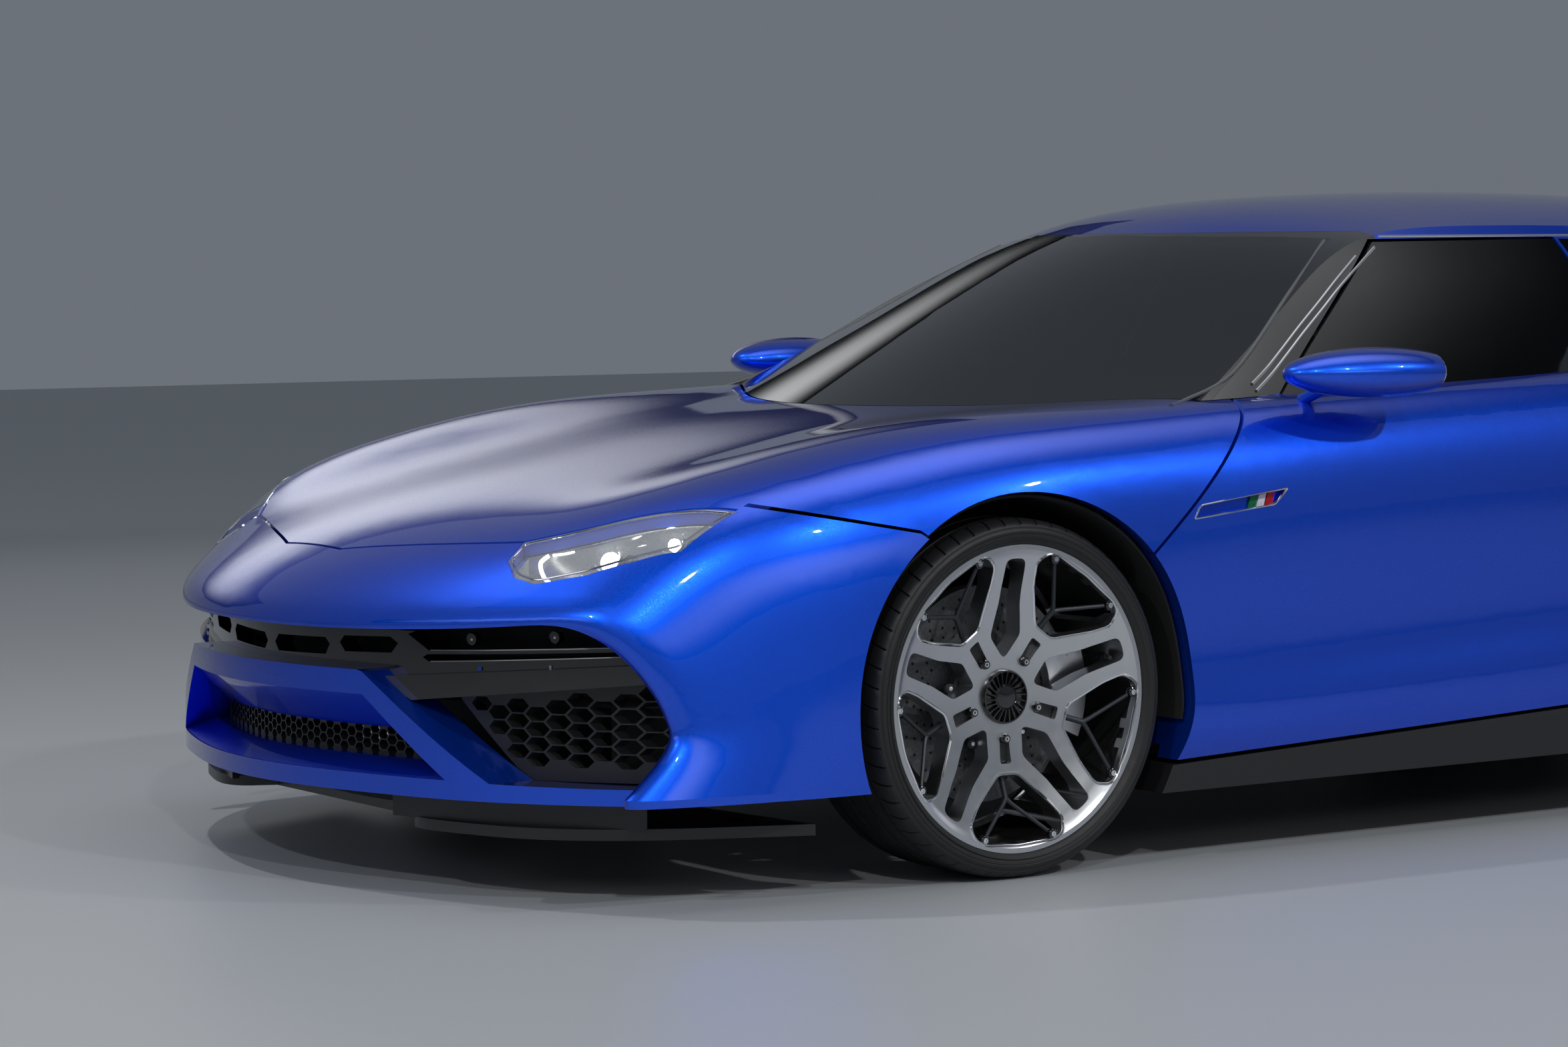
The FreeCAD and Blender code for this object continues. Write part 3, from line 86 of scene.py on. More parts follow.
def grain(m, scale, strength, depth=0.001, kind="ShaderNodeTexNoise", out="Fac"):
    """A fine relief from a noise or a cell texture."""
    nodes = m.node_tree.nodes
    where = nodes.new("ShaderNodeTexCoord")
    noise = nodes.new(kind)
    noise.inputs["Scale"].default_value = scale
    relief = nodes.new("ShaderNodeBump")
    relief.inputs["Strength"].default_value = strength
    relief.inputs["Distance"].default_value = depth
    wire(m, (where, "Object", noise, "Vector"), (noise, out, relief, "Height"),
         (relief, "Normal", nodes["Principled BSDF"], "Normal"))
    return m


def mottled(m, scale, low, high):
    """Two tones of the base colour, mixed by a soft noise."""
    nodes = m.node_tree.nodes
    where = nodes.new("ShaderNodeTexCoord")
    noise = nodes.new("ShaderNodeTexNoise")
    noise.inputs["Scale"].default_value = scale
    tone = nodes.new("ShaderNodeMix")
    tone.data_type = "RGBA"
    tone.inputs["A"].default_value = (*low, 1)
    tone.inputs["B"].default_value = (*high, 1)
    wire(m, (where, "Object", noise, "Vector"), (noise, "Fac", tone, "Factor"),
         (tone, "Result", nodes["Principled BSDF"], "Base Color"))
    return m


def metallic_paint():
    """Deep blue with fine metal flakes under a clear coat, with a painted sheen: light azure where the surface
    faces the camera, darkening to deep blue towards its grazing edges.
    """
    m = material("blue_paint", (0.002, 0.03, 0.52), 0.82, 0.34, 1.0)
    nodes = m.node_tree.nodes
    shader = nodes["Principled BSDF"]
    where = nodes.new("ShaderNodeTexCoord")
    flakes = nodes.new("ShaderNodeTexVoronoi")
    flakes.inputs["Scale"].default_value = 900
    # Painted sheen: the facing weight mixes a light azure where the surface faces the camera with a deep blue
    # towards grazing edges.
    painted_sheen_mask = nodes.new("ShaderNodeLayerWeight")
    painted_sheen_mask.inputs["Blend"].default_value = 0.4
    tone = nodes.new("ShaderNodeMix")
    tone.data_type = "RGBA"
    tone.inputs["A"].default_value = (0.001, 0.11, 1.0, 1)
    tone.inputs["B"].default_value = (0.004, 0.006, 0.26, 1)
    spark = nodes.new("ShaderNodeMapRange")
    spark.inputs["To Min"].default_value = 0.26
    spark.inputs["To Max"].default_value = 0.44
    wire(m, (where, "Object", flakes, "Vector"), (painted_sheen_mask, "Facing", tone, "Factor"),
         (tone, "Result", shader, "Base Color"), (flakes, "Color", spark, "Value"),
         (spark, "Result", shader, "Roughness"))
    return m


PAINT = metallic_paint()
GLASS = speckle(material("dark_glass", (0.004, 0.005, 0.006), 0.0, 0.02, 1.0, alpha=0.80), 30, 0.01, 0.03)
LAMP_GLASS = speckle(material("lamp_glass", (0.9, 0.92, 0.95), 0.0, 0.01, 1.0, alpha=0.13), 30, 0.005, 0.02)
SATIN = speckle(material("satin_black", (0.010, 0.010, 0.011), 0.0, 0.42, 0.3, 0.3), 120, 0.36, 0.5)
GLOSS = speckle(material("gloss_black", (0.005, 0.005, 0.006), 0.0, 0.12, 1.0), 90, 0.08, 0.16)
DULL = speckle(material("dull_black", (0.008, 0.008, 0.008), 0.0, 0.8), 200, 0.7, 0.95)
RUBBER = material("tyre_rubber", (0.012, 0.012, 0.013), 0.0, 0.5)
RUBBER = grain(speckle(RUBBER, 90, 0.42, 0.62), 1500, 0.25, 0.0004)
ALLOY = material("brushed_alloy", (0.66, 0.67, 0.69), 1.0, 0.3, 0.3, 0.1)
ALLOY = speckle(ALLOY, 50, 0.24, 0.36, "Roughness", 8)
CHROME = speckle(material("bright_chrome", (0.86, 0.87, 0.89), 1.0, 0.06), 40, 0.04, 0.09)
CELLS = ("ShaderNodeTexVoronoi", "Distance")
STONE = mottled(material("disc_stone", (0.1, 0.1, 0.1), 0.35, 0.5), 160, (0.06, 0.065, 0.07), (0.2, 0.21, 0.22))
STONE = speckle(STONE, 300, 0.35, 0.7)
CAST = mottled(material("cast_grey", (0.2, 0.2, 0.2), 0.9, 0.5), 30, (0.15, 0.15, 0.16), (0.28, 0.28, 0.29))
CAST = grain(CAST, 400, 0.3)
RED = grain(material("red_lens", (0.30, 0.003, 0.005), 0.0, 0.1, 1.0), 260, 0.4, 0.001, *CELLS)
HIDE = mottled(material("pale_hide", (0.5, 0.47, 0.42), 0.0, 0.5), 14, (0.44, 0.42, 0.37), (0.54, 0.52, 0.46))
HIDE = grain(HIDE, 900, 0.35, 0.0008, *CELLS)
BLACK_HIDE = material("black_hide", (0.02, 0.02, 0.02), 0.0, 0.5)
BLACK_HIDE = mottled(BLACK_HIDE, 14, (0.012, 0.012, 0.013), (0.024, 0.024, 0.025))
BLACK_HIDE = grain(BLACK_HIDE, 900, 0.35, 0.0008, *CELLS)
GRAPHITE = speckle(material("graphite", (0.035, 0.04, 0.047), 0.4, 0.4), 140, 0.34, 0.5)
GREY = speckle(material("warm_grey", (0.10, 0.105, 0.11), 0.2, 0.4), 100, 0.34, 0.46)
REFLECTOR = speckle(material("lamp_reflector", (0.55, 0.57, 0.58), 0.85, 0.25), 60, 0.2, 0.32)
BEAM = speckle(material("lamp_beam", (1, 1, 1), 0.0, 0.2, glow=((0.93, 0.97, 1.0), 9.0)), 40, 0.15, 0.25)
DAY_LIGHT = material("day_light", (1, 1, 0.97), 0.0, 0.3, glow=((1.0, 1.0, 0.93), 1.6))
DAY_LIGHT = speckle(DAY_LIGHT, 40, 0.25, 0.35)
GREEN = speckle(material("flag_green", (0.0, 0.16, 0.045), 0.0, 0.3), 60, 0.25, 0.35)
WHITE = speckle(material("flag_white", (0.75, 0.76, 0.76), 0.0, 0.3), 60, 0.25, 0.35)
SCARLET = speckle(material("flag_red", (0.5, 0.008, 0.01), 0.0, 0.3), 60, 0.25, 0.35)
FAR_GREY = speckle(material("bead_blasted", (0.30, 0.30, 0.31), 0.9, 0.4), 80, 0.34, 0.46)

BY_SLOT = {"body_paint": PAINT, "clear_glass": GLASS, "red_lens": RED, "bright_metal": CHROME,
           "cast_alloy": ALLOY, "disc_stone": STONE, "tyre_rubber": RUBBER, "seat_leather": HIDE,
           "cabin_leather": BLACK_HIDE, "satin_black": SATIN}
BY_NODE = {"headlamp_covers": LAMP_GLASS, "engine": CAST, "slot_band": GLOSS, "headlamp_bowls": REFLECTOR,
           "pillar_trims": GLOSS, "front_liners": DULL, "rear_liners": DULL}


def dress(thing, m, body=None):
    thing.data.materials.clear()
    thing.data.materials.append(m)
    if body:
        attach(thing, body)
    return thing


for part in frame["record"]["subparts"]:
    node = part["node"]
    dress(NODES[node], BY_NODE.get(node, BY_SLOT[part["material_slot"]]))


# Forms

def circle(place, u, v, radius, count, start=0.0):
    """Points of a ring round a place, in the plane of two unit vectors."""
    ring = []
    for k in range(count):
        a = start + 2 * math.pi * k / count
        ring.append(place + radius * (math.cos(a) * u + math.sin(a) * v))
    return ring


def across(axis):
    """Two unit vectors square to an axis and to each other."""
    axis = axis.normalized()
    u = axis.orthogonal().normalized()
    return u, axis.cross(u)


def smooth_line(points, steps, closed=False):
    """A Catmull-Rom curve through points."""
    points = [Vector(p) for p in points]
    n = len(points)
    line = []
    spans = n if closed else n - 1
    for k in range(spans):
        if closed:
            a, b, c, d = (points[(k + i) % n] for i in (-1, 0, 1, 2))
        else:
            a, b, c, d = (points[min(max(k + i, 0), n - 1)] for i in (-1, 0, 1, 2))
        for i in range(steps):
            t = i / steps
            bend = t * t * (2 * a - 5 * b + 4 * c - d) + t ** 3 * (3 * b - a - 3 * c + d)
            line.append(0.5 * (2 * b + t * (c - a) + bend))
    if not closed:
        line.append(points[-1])
    return line


def chamfered(points, size, steps=4):
    """A closed flat outline with its corners rounded."""
    points = [Vector(p) for p in points]
    line = []
    n = len(points)
    for k in range(n):
        a, b, c = points[k - 1], points[k], points[(k + 1) % n]
        near = b + (a - b).normalized() * min(size, (a - b).length * 0.45)
        far = b + (c - b).normalized() * min(size, (c - b).length * 0.45)
        for i in range(steps + 1):
            t = i / steps
            line.append((1 - t) ** 2 * near + 2 * t * (1 - t) * b + t * t * far)
    return line


class Heap:
    """Many small forms that are joined into one piece."""

    def __init__(self):
        self.points = []
        self.faces = []

    def skin(self, rings, wrap=False, caps=True):
        base = len(self.points)
        count = len(rings[0])
        for ring in rings:
            self.points += [Vector(p) for p in ring]
        spans = len(rings) if wrap else len(rings) - 1
        for k in range(spans):
            a, b = base + k * count, base + (k + 1) % len(rings) * count
            for i in range(count):
                j = (i + 1) % count
                self.faces.append((a + i, a + j, b + j, b + i))
        if caps and not wrap:
            self.faces.append(tuple(base + i for i in range(count)))
            self.faces.append(tuple(base + (len(rings) - 1) * count + i for i in range(count)))
        return self

    def sheet(self, rows):
        base = len(self.points)
        count = len(rows[0])
        for row in rows:
            self.points += [Vector(p) for p in row]
        for k in range(len(rows) - 1):
            for i in range(count - 1):
                a = base + k * count + i
                self.faces.append((a, a + 1, a + count + 1, a + count))
        return self

    def turned(self, place, axis, profile, count=24, start=0.0):
        """A form turned round an axis. Each step of the profile is (radius, distance along the axis)."""
        axis = Vector(axis).normalized()
        u, v = across(axis)
        place = Vector(place)
        rings = [circle(place + axis * along, u, v, radius, count, start) for radius, along in profile]
        return self.skin(rings)

    def rod(self, path, radius, count=8, wrap=False):
        """A round tube along a path. The radius is one number or one for each point."""
        path = [Vector(p) for p in path]
        n = len(path)
        radii = radius if isinstance(radius, (list, tuple)) else [radius] * n
        rings = []
        last = None
        for k in range(n):
            if wrap:
                way = path[(k + 1) % n] - path[k - 1]
            else:
                way = path[min(k + 1, n - 1)] - path[max(k - 1, 0)]
            way.normalize()
            u = across(way)[0] if last is None else (last - way * last.dot(way)).normalized()
            last = u
            rings.append(circle(path[k], u, way.cross(u), radii[k], count))
        return self.skin(rings, wrap)

    def slab(self, outline, away):
        """A closed outline given thickness along a vector."""
        away = Vector(away)
        return self.skin([outline, [Vector(p) + away for p in outline]])

    def mirrored(self):
        """The same forms again on the car's other side."""
        other = Heap()
        other.points = [Vector((p.x, -p.y, p.z)) for p in self.points]
        other.faces = [tuple(reversed(face)) for face in self.faces]
        return other

    def join(self, other):
        base = len(self.points)
        self.points += other.points
        self.faces += [tuple(base + i for i in face) for face in other.faces]
        return self

    def piece(self, name, m, body="root", slot="satin_black", angle=35, tidy=True):
        mesh = bpy.data.meshes.new(name)
        mesh.from_pydata(self.points, [], self.faces)
        if tidy:
            shape = bmesh.new()
            shape.from_mesh(mesh)
            bmesh.ops.recalc_face_normals(shape, faces=shape.faces)
            shape.to_mesh(mesh)
            shape.free()
        mesh.shade_smooth()
        mesh.set_sharp_from_angle(angle=math.radians(angle))
        thing = bpy.data.objects.new(name, mesh)
        bpy.context.scene.collection.objects.link(thing)
        return dress(thing, m, body)


def bevel(thing, width, segments=2, angle=30):
    edge = thing.modifiers.new("edge", "BEVEL")
    edge.width = width
    edge.segments = segments
    edge.limit_method = "ANGLE"
    edge.angle_limit = math.radians(angle)
    edge.harden_normals = True
    return thing


# Wheels

RIM = 0.281
DISH = [(0.030, -0.052), (0.074, -0.050), (0.110, -0.0465), (0.1405, -0.040), (0.170, -0.0335),
        (0.200, -0.0262), (0.225, -0.018), (0.243, -0.0125), (0.257, -0.009), (0.266, -0.004), (0.272, 0.0)]
FORK = [(0.506, 0.075), (0.70, 0.285), (0.80, 0.365), (0.89, 0.345), (0.925, 0.27), (0.945, 0.0)]
BETWEEN = [(0.262, 0.015), (0.40, 0.120), (0.50, 0.105), (0.62, 0.085), (0.88, 0.078), (0.905, 0.055),
           (0.91, 0.0)]
GROOVE = [(0.255, 0.036), (0.435, 0.044)]
SPOKES = 5
SPOKE_ANGLES = [math.radians(-90 + 72 * k) for k in range(SPOKES)]


def between_values(table, value):
    """A value read from a table of pairs in rising order, with straight runs between them."""
    for (a, low), (b, high) in zip(table, table[1:]):
        if value <= b:
            return low + (high - low) * max(0.0, value - a) / (b - a)
    return table[-1][1]


def outline_of(half):
    """The whole outline of an opening from its half, in shares of the rim's radius."""
    back = [(r, -t) for r, t in reversed(half) if t > 0]
    return [Vector((r, t, 0)) for r, t in half] + [Vector((r, t, 0)) for r, t in back]


class Wheel:
    """Places on one left wheel: its centre, its outer face and points by radius and angle."""

    def __init__(self, x, track, half, tyre):
        self.x, self.z, self.track, self.tyre = x, tyre, track, tyre
        self.face = half - 0.009
        self.out = Vector((0, 1, 0))

    def at(self, r, t, angle, depth):
        u = r * math.cos(angle) - t * math.sin(angle)
        w = r * math.sin(angle) + t * math.cos(angle)
        return Vector((self.x + u, self.track + self.face + depth, self.z + w))

    def on_spoke(self, r, t, angle, lift=0.0):
        return self.at(r, t, angle, between_values(DISH, math.hypot(r, t)) + lift)


def lathe(wheel, profile, count, twist=None, dent=None):
    """A closed ring round the wheel's axle from a closed profile of (radius, depth behind the face)."""
    heap = Heap()
    rings = []
    for k, (r, depth) in enumerate(profile):
        ring = []
        for i in range(count):
            turn, drop = (2 * math.pi * i / count, 0.0) if dent is None else dent(i, k)
            turn += twist[k] if twist else 0.0
            ring.append(wheel.at(r - drop, 0, turn, depth))
        rings.append(ring)
    return heap.skin(rings, wrap=True)


def tyre_form(wheel):
    """Ribbed side walls, four grooves round the tread and curved sipes over both shoulders."""
    rim, top, width = RIM, wheel.tyre, 2 * wheel.face
    wall = [(rim + 0.0006, -0.012), (rim + 0.0006, 0.0), (rim + 0.004, 0.004), (rim + 0.009, 0.0062),
            (rim + 0.0105, 0.0084), (rim + 0.012, 0.0064), (rim + 0.016, 0.0082), (rim + 0.020, 0.0088),
            (rim + 0.0205, 0.0078), (rim + 0.0215, 0.0088), (rim + 0.026, 0.0086), (top - 0.018, 0.0062),
            (top - 0.0165, 0.0048), (top - 0.015, 0.0052)]
    shoulder = [(top - 0.011, 0.0030), (top - 0.0070, -0.0018), (top - 0.0042, -0.0075),
                (top - 0.0020, -0.014), (top - 0.0010, -0.022), (top - 0.0004, -0.030),
                (top - 0.0002, -0.038), (top, -0.044)]
    half = width / 2
    grooves = [half * 0.62, half * 0.22]
    tread = []
    for g in grooves:
        for across_groove, deep in ((0.0055, 0.0), (0.0045, 0.006), (-0.0045, 0.006), (-0.0055, 0.0)):
            tread.append((top - deep, g + across_groove - half))
    side = wall + shoulder + tread
    profile = side + [(r, -width - depth) for r, depth in reversed(side)]
    count_side = len(side)
    sipe_from, sipe_to = len(wall), len(wall) + len(shoulder)
    phases = (0.0, 0.06, 0.12, 0.42, 0.72)
    sipes = 56

    def dent(i, k):
        period, phase = divmod(i, len(phases))
        from_edge = k if k < count_side else len(profile) - 1 - k
        turn = 2 * math.pi * (period + phases[phase]) / sipes
        drop = 0.0048 if phase == 1 and sipe_from < from_edge < sipe_to - 1 else 0.0
        return turn, drop

    twist = []
    for k in range(len(profile)):
        from_edge = k if k < count_side else len(profile) - 1 - k
        along = min(max(from_edge - sipe_from, 0), sipe_to - sipe_from) / (sipe_to - sipe_from)
        twist.append(0.055 * along ** 1.6 * (1 if k < count_side else -1))
    return lathe(wheel, profile, sipes * len(phases), twist, dent)


def rim_form(wheel):
    """The rim's section turned round the axle, with the openings between its forked spokes cut out."""
    width = 2 * wheel.face
    back = -width
    front_seat = [(RIM, 0.0), (RIM, -0.012), (RIM - 0.016, -0.019), (RIM - 0.016, -0.034),
                  (RIM - 0.024, -0.060)]
    rear_seat = [(RIM - 0.024, back + 0.060), (RIM - 0.016, back + 0.034), (RIM - 0.016, back + 0.019),
                 (RIM, back + 0.012), (RIM, back)]
    barrel = [(RIM - 0.009, back), (RIM - 0.025, back + 0.020), (RIM - 0.033, back + 0.062),
              (RIM - 0.033, -0.066), (RIM - 0.048, -0.060), (RIM - 0.070, -0.062)]
    spoke_backs = [(0.150, -0.080), (0.088, -0.092), (0.030, -0.092)]
    profile = front_seat + rear_seat + barrel + spoke_backs + DISH
    solid = lathe(wheel, profile, 160).piece("rim_solid", ALLOY, angle=30)
    cutter = Heap()
    for angle in SPOKE_ANGLES:
        for half, lean, deep, round_off in (
                (FORK, 0.0, -0.2, 0.035), (BETWEEN, math.pi / SPOKES, -0.2, 0.03),
                (GROOVE, 0.0, -0.068, 0.018)):
            line = chamfered(outline_of(half), round_off)
            low = [wheel.at(RIM * p.x, RIM * p.y, angle + lean, deep) for p in line]
            high = [p + Vector((0, 0.03 - deep, 0)) for p in low]
            cutter.skin([low, high])
    tool = cutter.piece("rim_cutter", ALLOY)
    cut = solid.modifiers.new("cut", "BOOLEAN")
    cut.object = tool
    cut.solver = "EXACT"
    bpy.context.view_layer.update()
    mesh = bpy.data.meshes.new_from_object(solid.evaluated_get(bpy.context.evaluated_depsgraph_get()))
    heap = Heap()
    heap.points = [v.co.copy() for v in mesh.vertices]
    heap.faces = [tuple(face.vertices) for face in mesh.polygons]
    for thing in (solid, tool):
        bpy.data.objects.remove(thing)
    return heap


# Turned forms on a wheel, each step as (radius, height)
BRACE_BOSS = [(0.0096, 0), (0.0102, 0.006), (0.0092, 0.0095), (0.0068, 0.0108), (0.0060, 0.0095)]
BRACE_BOLT = [(0.0058, 0), (0.0052, 0.0026), (0.0030, 0.0026), (0.0024, 0.0010)]
STUD_BOSS = [(0.0088, -0.006), (0.0092, 0.006), (0.0076, 0.0095), (0.0058, 0.0095)]
STUD_BOLT = [(0.0052, 0), (0.0046, 0.0022), (0.0028, 0.0022), (0.0022, 0.0008)]
CAP = [(0.0505, -0.060), (0.0505, -0.046), (0.0485, -0.0425), (0.0460, -0.0425), (0.0450, -0.050),
       (0.0245, -0.050), (0.0240, -0.043), (0.0225, -0.0415), (0.0215, -0.0430), (0.0200, -0.0415),
       (0.0100, -0.0405), (0.0010, -0.0400)]
LUG = [(0.0100, 0), (0.0100, 0.008), (0.0085, 0.010), (0.0040, 0.010)]
LUG_BOLT = [(0.0046, 0), (0.0040, 0.003), (0.0016, 0.003)]
LUG_ARM = [(0.080, -0.010), (0.080, 0.010), (0.106, 0.008), (0.106, -0.008)]
DRILLING = [(0.0030, -0.0015), (0.0030, 0.0), (0.0022, 0.0002)]


def wheel_details(wheel):
    """The small pieces on a wheel, each kind joined in one heap."""
    lips, brackets, bosses, bolts, cap, floors, studs, valve = (Heap() for _ in range(8))
    out = wheel.out
    for angle in SPOKE_ANGLES:
        line = chamfered(outline_of(FORK), 0.035, 5)
        middle = Vector((0.74, 0, 0))
        line = [p + (p - middle).normalized() * 0.011 for p in line]
        lips.rod([wheel.on_spoke(RIM * p.x, RIM * p.y, angle, -0.0004) for p in line], 0.0024, 6, wrap=True)
        split = wheel.at(RIM * 0.665, 0, angle, -0.046)
        foot, knee = wheel.at(RIM * 0.50, 0, angle, -0.062), wheel.at(RIM * 0.57, 0, angle, -0.055)
        brackets.rod([foot, knee, split], [0.0075, 0.0055, 0.0055], 8)
        for side in (-1, 1):
            tip = wheel.at(RIM * 0.90, side * RIM * 0.275, angle, -0.006)
            bend = wheel.at(RIM * 0.70, side * RIM * 0.035, angle, -0.041)
            brackets.rod([split, bend, tip - out * 0.003], [0.0052, 0.0042, 0.0036], 8)
            bosses.turned(tip - out * 0.008, out, BRACE_BOSS, 20)
            bolts.turned(tip + out * 0.0010, out, BRACE_BOLT, 12)
        stud = wheel.at(RIM * 0.272, 0, angle, -0.050)
        bosses.turned(stud, out, STUD_BOSS, 18)
        bolts.turned(stud + out * 0.0085, out, STUD_BOLT, 12)
        slot_corners = ((0.26, 0.036), (0.43, 0.044), (0.43, -0.044), (0.26, -0.036))
        floor_line = chamfered([Vector((r, t * 0.97, 0)) for r, t in slot_corners], 0.018)
        floors.slab([wheel.at(RIM * p.x, RIM * p.y, angle, -0.068) for p in floor_line], out * 0.010)
    centre = wheel.at(0, 0, 0, 0)
    cap.turned(centre, out, CAP, 48)
    fins = 22
    for k in range(fins):
        a = 2 * math.pi * k / fins
        lean = 0.16
        blade = [wheel.at(0.0235, 0, a, -0.050), wheel.at(0.0455, 0, a + lean, -0.050),
                 wheel.at(0.0455, 0, a + lean + 0.05, -0.0435), wheel.at(0.0235, 0, a + 0.07, -0.0425)]
        around = Vector((-math.sin(a), 0, math.cos(a)))
        cap.slab(blade, around * 0.0022)
    lugs = 10
    bell = -0.094
    for k in range(lugs):
        a = 2 * math.pi * (k + 0.3) / lugs
        arm = [wheel.at(r, t, a, bell) for r, t in LUG_ARM]
        studs.slab(arm, out * 0.006)
        studs.turned(wheel.at(0.098, 0, a, bell), out, LUG, 14)
        bolts.turned(wheel.at(0.098, 0, a, bell + 0.010), out, LUG_BOLT, 10)
    stem = math.radians(162)
    foot, tip = wheel.at(0.245, 0.012, stem, -0.060), wheel.at(0.232, 0.012, stem, -0.022)
    valve.rod([foot, foot.lerp(tip, 0.55)], 0.0052, 10)
    valve.rod([foot.lerp(tip, 0.5), tip], [0.0036, 0.0040], 10)
    return lips, brackets, bosses, bolts, cap, floors, studs, valve


def drilling(wheel):
    """Small dull-black dots on the disc's outer face where the cross-drilled holes are: painted shade standing
    in for the holes' dark insides.
    """
    hole_shade = Heap()
    depth = -0.118 + 0.0003
    for arm in range(30):
        for step in range(5):
            a = 2 * math.pi * arm / 30 + step * 0.062
            r = 0.124 + step * 0.0148
            hole_shade.turned(wheel.at(r, 0, a, depth), wheel.out, DRILLING, 8)
    return hole_shade


FRONT_TYRE, FRONT_TRACK, FRONT_HALF = 0.3285, 0.8175, 0.1275
REAR_TYRE, REAR_TRACK, REAR_HALF = 0.35, 0.8045, 0.1625
WHEEL_LOOKS = (("lips", CHROME, "bright_metal"), ("brackets", GRAPHITE, "satin_black"),
               ("bosses", GLOSS, "satin_black"), ("bolts", CHROME, "bright_metal"),
               ("cap", GLOSS, "satin_black"), ("slot_floors", SATIN, "satin_black"),
               ("disc_lugs", GRAPHITE, "satin_black"), ("valve", SATIN, "satin_black"))
for end, wheel in (("f", Wheel(FRONT_X, FRONT_TRACK, FRONT_HALF, FRONT_TYRE)),
                   ("r", Wheel(REAR_X, REAR_TRACK, REAR_HALF, REAR_TYRE))):
    tyre, rim = tyre_form(wheel), rim_form(wheel)
    details = wheel_details(wheel)
    hole_shade = drilling(wheel)
    for side, turned in (("l", False), ("r", True)):
        corner = end + side
        body = f"wheel_{corner}"

        def sided(heap):
            return heap.mirrored() if turned else heap

        piece = sided(tyre).piece(f"tyre_skin_{corner}", RUBBER, body, "tyre_rubber", 50)
        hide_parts(f"tyre_{corner}")
        piece = sided(rim).piece(f"forged_rim_{corner}", ALLOY, body, "cast_alloy", 30)
        bevel(piece, 0.0016, 2, 40)
        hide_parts(f"rim_{corner}")
        for heap, (word, m, slot) in zip(details, WHEEL_LOOKS):
            sided(heap).piece(f"wheel_{word}_{corner}", m, body, slot)
        # Dark dots of painted shade where the disc's drilled holes are.
        sided(hole_shade).piece(f"disc_hole_shade_{corner}", DULL, body, "disc_stone")


# Places read off the frame's own surfaces

TREES = {}


def struck(start, way, *names):
    """The first place and normal that a straight look from a point meets on some of the frame's nodes."""
    best = None
    for name in names:
        if name not in TREES:
            mesh = NODES[name].data
            corners = [tuple(face.vertices) for face in mesh.polygons]
            TREES[name] = BVHTree.FromPolygons([v.co for v in mesh.vertices], corners)
        hit = TREES[name].ray_cast(Vector(start), Vector(way).normalized())
        if hit[0] is not None and (best is None or hit[3] < best[2]):
            best = (hit[0], hit[1], hit[3])
    return best


def laid_line(points, way, names, lift=0.0):
    """A line of places put down on the frame along one direction."""
    line = []
    for p in points:
        hit = struck(Vector(p) - Vector(way).normalized() * 2, way, *names)
        if hit:
            line.append(hit[0] - Vector(way).normalized() * lift)
    return line


# Headlamps

LAMP_LOOK = Vector((0.80, 0.42, 0.30)).normalized()
BARREL = [(0.016, 0.0), (0.027, 0.004), (0.0285, 0.020), (0.0270, 0.023), (0.0240, 0.021), (0.0235, 0.010)]
BEAM_DOME = [(0.0236, 0.0), (0.0215, 0.006), (0.0150, 0.011), (0.0070, 0.0135)]
BEAM_TIP = (0.0006, 0.0142)
SECOND_LENS = [(0.010, 0.0), (0.0165, 0.003), (0.0172, 0.012), (0.0150, 0.016), (0.0090, 0.0195),
               (0.0005, 0.0208)]
DAY_CORNER = [(2.0235, 0.5800, 0.6100), (2.0390, 0.5790, 0.5990), (2.0455, 0.5900, 0.5860),
              (2.0480, 0.6090, 0.5710), (2.0420, 0.6290, 0.5610), (2.0290, 0.6480, 0.5565)]
DAY_UPPER = [(2.0180, 0.5850, 0.6110), (2.0020, 0.5980, 0.6130), (1.9880, 0.6100, 0.6170)]
LOUVRE_SHELF = [(2.036, 0.640, 0.5545), (1.955, 0.712, 0.572), (1.925, 0.690, 0.578), (2.005, 0.615, 0.560)]


def lamp_details():
    housing, barrels, lenses, beams, day, teeth = (Heap() for _ in range(6))
    for place, size in ((Vector((1.950, 0.668, 0.606)), 1.0), (Vector((1.868, 0.752, 0.637)), 0.92)):
        back = place - LAMP_LOOK * 0.030
        barrels.turned(back, LAMP_LOOK, [(r * size, along) for r, along in BARREL], 40)
        dome = [(r * size, along) for r, along in BEAM_DOME] + [BEAM_TIP]
        beams.turned(back + LAMP_LOOK * 0.010, LAMP_LOOK, dome, 36)
        second = place + Vector((-0.030, 0.028, -0.006)) * size
        lenses.turned(second - LAMP_LOOK * 0.022, LAMP_LOOK, SECOND_LENS, 30)
    inward = Vector((-0.010, 0.002, -0.004))
    day.rod([p + inward for p in smooth_line(DAY_CORNER, 6)], 0.0038, 10)
    day.rod([p + inward for p in smooth_line(DAY_UPPER, 6)], 0.0022, 8)
    for k in range(5):
        foot = Vector((2.024, 0.652, 0.556)).lerp(Vector((1.975, 0.700, 0.570)), k / 4)
        teeth.turned(foot, (0.3, 0.2, 0.9), [(0.0045, 0.0), (0.0030, 0.008), (0.0004, 0.014)], 4, 0.6)
    housing.slab(LOUVRE_SHELF, (0, 0, 0.002))
    return housing, barrels, lenses, beams, day, teeth


words = ("housing", "barrels", "lenses", "beams", "day_light", "louvre")
finishes = (GRAPHITE, CHROME, GLOSS, BEAM, DAY_LIGHT, CHROME)
for heap, word, m in zip(lamp_details(), words, finishes):
    heap.join(heap.mirrored()).piece(f"headlamp_{word}", m, "root", "bright_metal")


